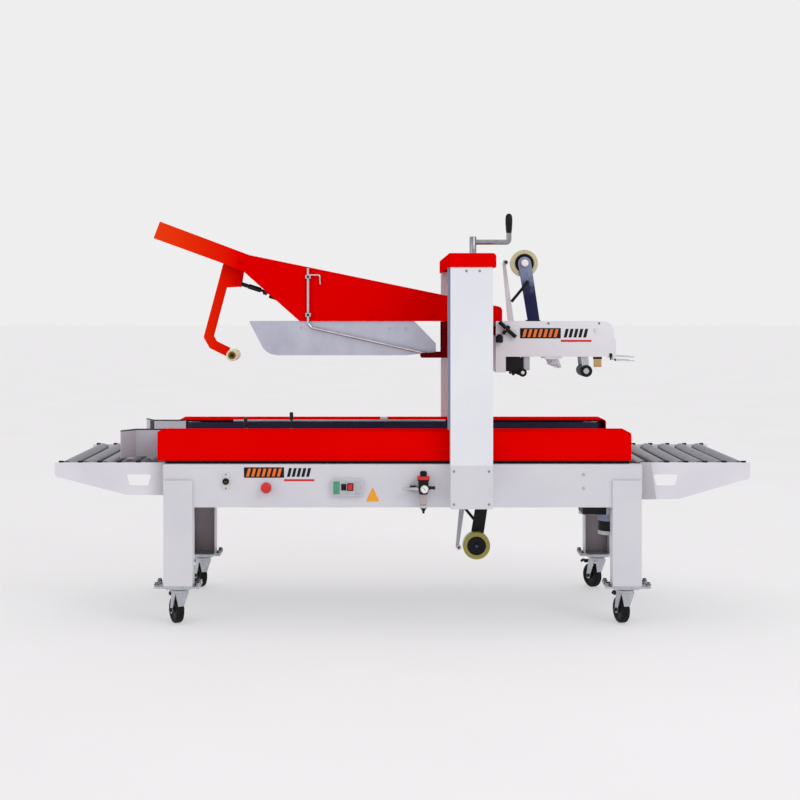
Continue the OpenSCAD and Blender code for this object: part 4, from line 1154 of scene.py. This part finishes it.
def makeKickerFittings(shape):
    x, z = shape["tip"]
    inner, outer = shape["sleeve"]
    r = shape["radius"]
    sleeves = []
    for side, sign in sides:
        profile = [(sign * inner, 6.3), (sign * inner, r - 2), (sign * (inner + 2), r),
                   (sign * (outer - 3), r),
                   (sign * (outer - 0.8), r - 1.2), (sign * outer, r - 4), (sign * (outer - 3), 12),
                   (sign * (outer - 3), 6.3)]
        sleeves.append(turned(profile, (x, 0, z), "Y", 44, True))
    addPiece("kickerSleeves", "kicker_roller", "nylon", sleeves, ("kicker_roller",))
    for side, sign in sides:
        nut = [(sign * 60, 0), (sign * 60, 10), (sign * 66.6, 9.4), (sign * 67.4, 7), (sign * 67.4, 0)]
        bush = [(sign * (outer - 2.6), 10.4), (sign * (outer - 2.6), 14), (sign * (outer - 0.4), 15.4),
                (sign * (outer + 0.6), 14), (sign * (outer + 0.6), 10.4)]
        addPiece(f"kickerBush_{side}", "kicker_roller", "gold", [turned(bush, (x, 0, z), "Y", 36, True)])
        addPiece(f"kickerAxleNut_{side}", "kicker", "blackSteel", [turned(nut, (x, 0, z), "Y", 6)])
        grow(f"kickerPinBolt_{side}", "kicker", "screws", [(*shape["pin"][:1], sign * 21, shape["pin"][1])],
             {"Head radius": 6 * mm, "Head height": 4 * mm, "Washer radius": 9 * mm, "Corners": 6},
             "warmRed", [(0, sign, 0)])


makeArmFittings(armFittings)
makeKickerFittings(kickerShape)
print("arm and kicker fitted")

# Crank and lead screws

crankShape = {"x": 260, "y": -408.5, "knobX": 393, "armZ": (1419, 1440), "threadPitch": 4}


def makeCrank(shape):
    x, y = shape["x"], shape["y"]
    low, high = shape["armZ"]
    shaft = [(1356, 0), (1356, 12.8), (1447, 12.8), (1450, 11), (1450, 0)]
    arm = bentRod([(x, y, (low + high) / 2), (shape["knobX"], y, (low + high) / 2),
                   (shape["knobX"], y, 1473)], 9.6, 12, 20)
    addPiece("crankShaftAndArm", "crank", "darkSteel", [turned(shaft, (x, y, 0), "Z", 40), arm],
             ("crank_handle",))
    grip = [(1461, 0), (1461, 8.5), (1463, 9.6), (1478, 11.6), (1500, 13), (1516, 13), (1526, 11.8),
            (1532, 8.6), (1535, 4), (1535, 0)]
    addPiece("crankGrip", "crank", "blackPlastic", [turned(grip, (shape["knobX"], y, 0), "Z", 40)])
    for side, sign, body in (("near", -1, "crank"), ("far", 1, "far_screw")):
        length = 1338 - 736
        grow(f"screwThread_{side}", body, "thread", [(x, sign * abs(y), 736)],
             {"Turns": length / shape["threadPitch"], "Core radius": 9.7 * mm, "Length": length * mm,
              "Thread radius": 0.9 * mm}, "zinc")


makeCrank(crankShape)
print("crank and screws built")

# Side belt units

beltShape = {"drive": 792, "idler": -862, "y": 258, "radius": 46.3, "foot": 629, "height": 84, "ribs": 330}


def makeBeltUnits(shape):
    r = shape["radius"] + 0.2
    for side, sign in sides:
        unit = "belt_unit_" + side
        cy, z = sign * shape["y"], shape["foot"] + shape["height"] / 2
        loop = []
        for centre, base in ((shape["drive"], -math.pi / 2), (shape["idler"], math.pi / 2)):
            for k in range(17):
                a = base + math.pi * k / 16
                loop.append((centre + r * math.cos(a), cy + r * math.sin(a), z))
        grow(f"beltRibs_{side}", unit, "belt", loop,
             {"Count": shape["ribs"], "Rib width": 4 * mm, "Rib depth": 1.4 * mm,
              "Rib height": (shape["height"] - 3) * mm},
             "belt", loop=True)
        motorX = shape["drive"]
        fins = [(motorX, cy, 383), (motorX, cy, 402)]
        grow(f"motorFins_{side}", unit, "row", fins,
             {"Count": 5, "Rib radius": 48.5 * mm, "Rib depth": 2.2 * mm, "Corners": 40}, "motorGrey")
        band = [(380.5, 40), (380.5, 47.2), (405, 47.2), (405, 40)]
        addPiece(f"motorBand_{side}", unit, "motorGrey", [turned(band, (motorX, cy, 0), "Z", 48, True)])
        shell = [(327, 0), (327, 30), (329, 38), (337, 44), (344, 46.8), (380, 46.8), (380, 0)]
        addPiece(f"motorHousing_{side}", unit, "blackPlastic", [turned(shell, (motorX, cy, 0), "Z", 48)])
        neck = [(438.4, 0), (438.4, 46.8), (500, 46.8), (500, 0)]
        addPiece(f"motorNeck_{side}", unit, "black", [turned(neck, (motorX, cy, 0), "Z", 48)])
        mount = rectOutline(682.8, 837.2, 405.2, 438.8, 4)
        addPiece(f"motorMount_{side}", unit, "black", [cutPlate(mount, cy - 41, cy + 41, 2)])
        gear = filleted([(712, 499), (840, 499), (840, 547), (712, 547)], 9, closed=True)
        ys = sorted((cy - 43, cy + 43))
        addPiece(f"gearHousing_{side}", unit, "black", [cutPlate(gear, ys[0], ys[1], 4)])
        addPiece(f"guardLip_{side}", unit, "zinc",
                 [softBox((-693, sign * 215.4 - 1, 714), (188, sign * 215.4 + 1, 723), 0.6)])
        mouth = [(-892, sign * 215), (-1021, sign * 215), (-1064.5, sign * 291)]
        edge = bentRod([(px, py, 720.5) for px, py in mouth], 2.6, 5, 12)
        addPiece(f"guideEdge_{side}", unit, "blackPlastic", [edge])
        if side == "far":
            # dark navy sheet on the far guide's flare: painted shade
            addPiece("guideFlareShade", unit, "navy",
                     [slab((-1022, 213.2), (-1063, 289), 618.5, 717.5, 1.2)])
            addPiece("cartonReflector", unit, "whitePlastic",
                     [softBox((-83, 217, 723.6), (-54, 226, 735), 1.5)])
        if side == "far":
            continue
        for x, top in ((-424, 786), (-600, 764)):
            y = sign * 214
            sensor = [bentRod([(x, y, 700), (x, y, top - 26)], 3, 4, 12),
                      turned([(top - 30, 0), (top - 30, 7), (top - 2, 7), (top, 5.4), (top, 0)], (x, y, 0),
                             "Z", 28),
                      turned([(716, 0), (716, 8), (724, 8), (724, 0)], (x, y, 0), "Z", 6)]
            addPiece(f"cartonSensor_{abs(x)}", unit, "blackSteel", sensor)


makeBeltUnits(beltShape)
print("belt units built")

# Extension tables: roller clips, and a grey sheet where each table meets the bed, painted shade of the
# recess there

tableShape = {"plate": 345, "top": 608, "firstRoller": 1260, "pitch": 72, "clips": 5,
              "shadeBand": (892, 931, 950)}


def makeTableFittings(shape):
    y = shape["plate"]
    for end, along in ends:
        for side, sign in sides:
            clips = []
            for k in range(shape["clips"]):
                xs = sorted(along * (shape["firstRoller"] - shape["pitch"] * k + dx) for dx in (9, 27))
                ys = sorted((sign * (y - 6.4), sign * (y + 0.8)))
                clips.append(softBox((xs[0], ys[0], shape["top"] - 1), (xs[1], ys[1], shape["top"] + 6),
                                     1.5))
            addPiece(f"rollerClips_{end}_{side}", "frame", "blackPlastic", clips)
    # thin grey sheet on each table's side plate, wider at its foot: painted shade, not a separate part
    root, top, foot = shape["shadeBand"]
    outline = [(root, 470.5), (foot, 470.5), (top, 606), (root, 606)]
    for side, sign in sides:
        ys = sorted((sign * (y + 0.1), sign * (y + 1.1)))
        addPiece(f"tableShadeBand_{side}", "frame", "shadeBandGrey", [cutPlate(outline, *ys, 0.3)])


# Dark strips between the side panels and the belt covers: painted shade under the belt guards
def makeBedShadeStrips():
    for side, sign in sides:
        ys = sorted((sign * 346.5, sign * 349))
        addPiece(f"bedShadeStrip_{side}", "frame", "blackPlastic",
                 [softBox((-884, ys[0], 603.6), (848, ys[1], 615.4), 0.6)])


# Plain sign plates without lettering

signShape = {
    "panel": {"body": "frame", "x": (-590, -328), "z": (538, 593), "y": panelFace},
    "head": {"body": "head", "x": (468, 750), "z": (1049, 1107), "y": -70},
    "triangle": {"x": (-136, -86), "z": (466, 521)},
}


def makeSigns(shape):
    for name in ("panel", "head"):
        sign = shape[name]
        x0, x1 = sign["x"]
        z0, z1 = sign["z"]
        width, height = x1 - x0, z1 - z0

        def slant(left, low, high, thick):
            foot, lean = x0 + left * width, 0.03 * width
            return [(foot, z0 + low * height), (foot + thick * width, z0 + low * height),
                    (foot + lean + thick * width, z0 + high * height), (foot + lean, z0 + high * height)]

        outlines = [rectOutline(x0, x0 + 0.57 * width, z0 + 0.3 * height, z1, 3)]
        outlines += [slant(0.61 + 0.068 * k, 0.36, 0.95, 0.042) for k in range(5)]
        blacks = [cutPlate(outline, sign["y"] - 0.7, sign["y"] - 0.1, 0.1) for outline in outlines]
        addPiece(name + "SignBlack", sign["body"], "blackPlastic", blacks)
        slants = [cutPlate(slant(0.03 + 0.073 * k, 0.38, 0.92, 0.04), sign["y"] - 1.1, sign["y"] - 0.7,
                           0.08)
                  for k in range(7)]
        addPiece(name + "SignOrange", sign["body"], "orangeFilm", slants)
        line = rectOutline(x0 + 0.57 * width, x1, z0 + 0.06 * height, z0 + 0.2 * height, 1)
        addPiece(name + "SignLine", sign["body"], "redPlastic",
                 [cutPlate(line, sign["y"] - 0.7, sign["y"] - 0.1, 0.1)])
    x0, x1 = shape["triangle"]["x"]
    z0, z1 = shape["triangle"]["z"]
    corners = filleted([(x0, z0), (x1, z0), ((x0 + x1) / 2, z1)], 4, closed=True)
    addPiece("yellowTriangle", "frame", "yellowFilm",
             [cutPlate(corners, panelFace - 0.8, panelFace - 0.1, 0.15)])


makeTableFittings(tableShape)
makeBedShadeStrips()
makeSigns(signShape)
print("tables, seals and signs fitted")


def makeFloor(setup):
    bpy.ops.mesh.primitive_plane_add(size=setup["floorSize"], location=(0, 0, 0))
    floor = bpy.context.object
    floor.name = "studioFloor"
    material, tree, shader, place = startMaterial("studioPaper", **{
        "Roughness": 0.9, "Emission Color": linear(setup["world"]),
        "Emission Strength": setup["floorGlow"]})
    cloud = grain(tree, place, (900, 900, 900), 2.0)
    toned = blendColours(tree, spread(tree, cloud, 0.0, 1.0), linear(setup["floor"]),
                         linear(setup["floorShade"]))
    tree.links.new(toned, shader.inputs["Base Color"])
    floor.data.materials.append(material)


makeFloor(lightSetup)

print("finishing")
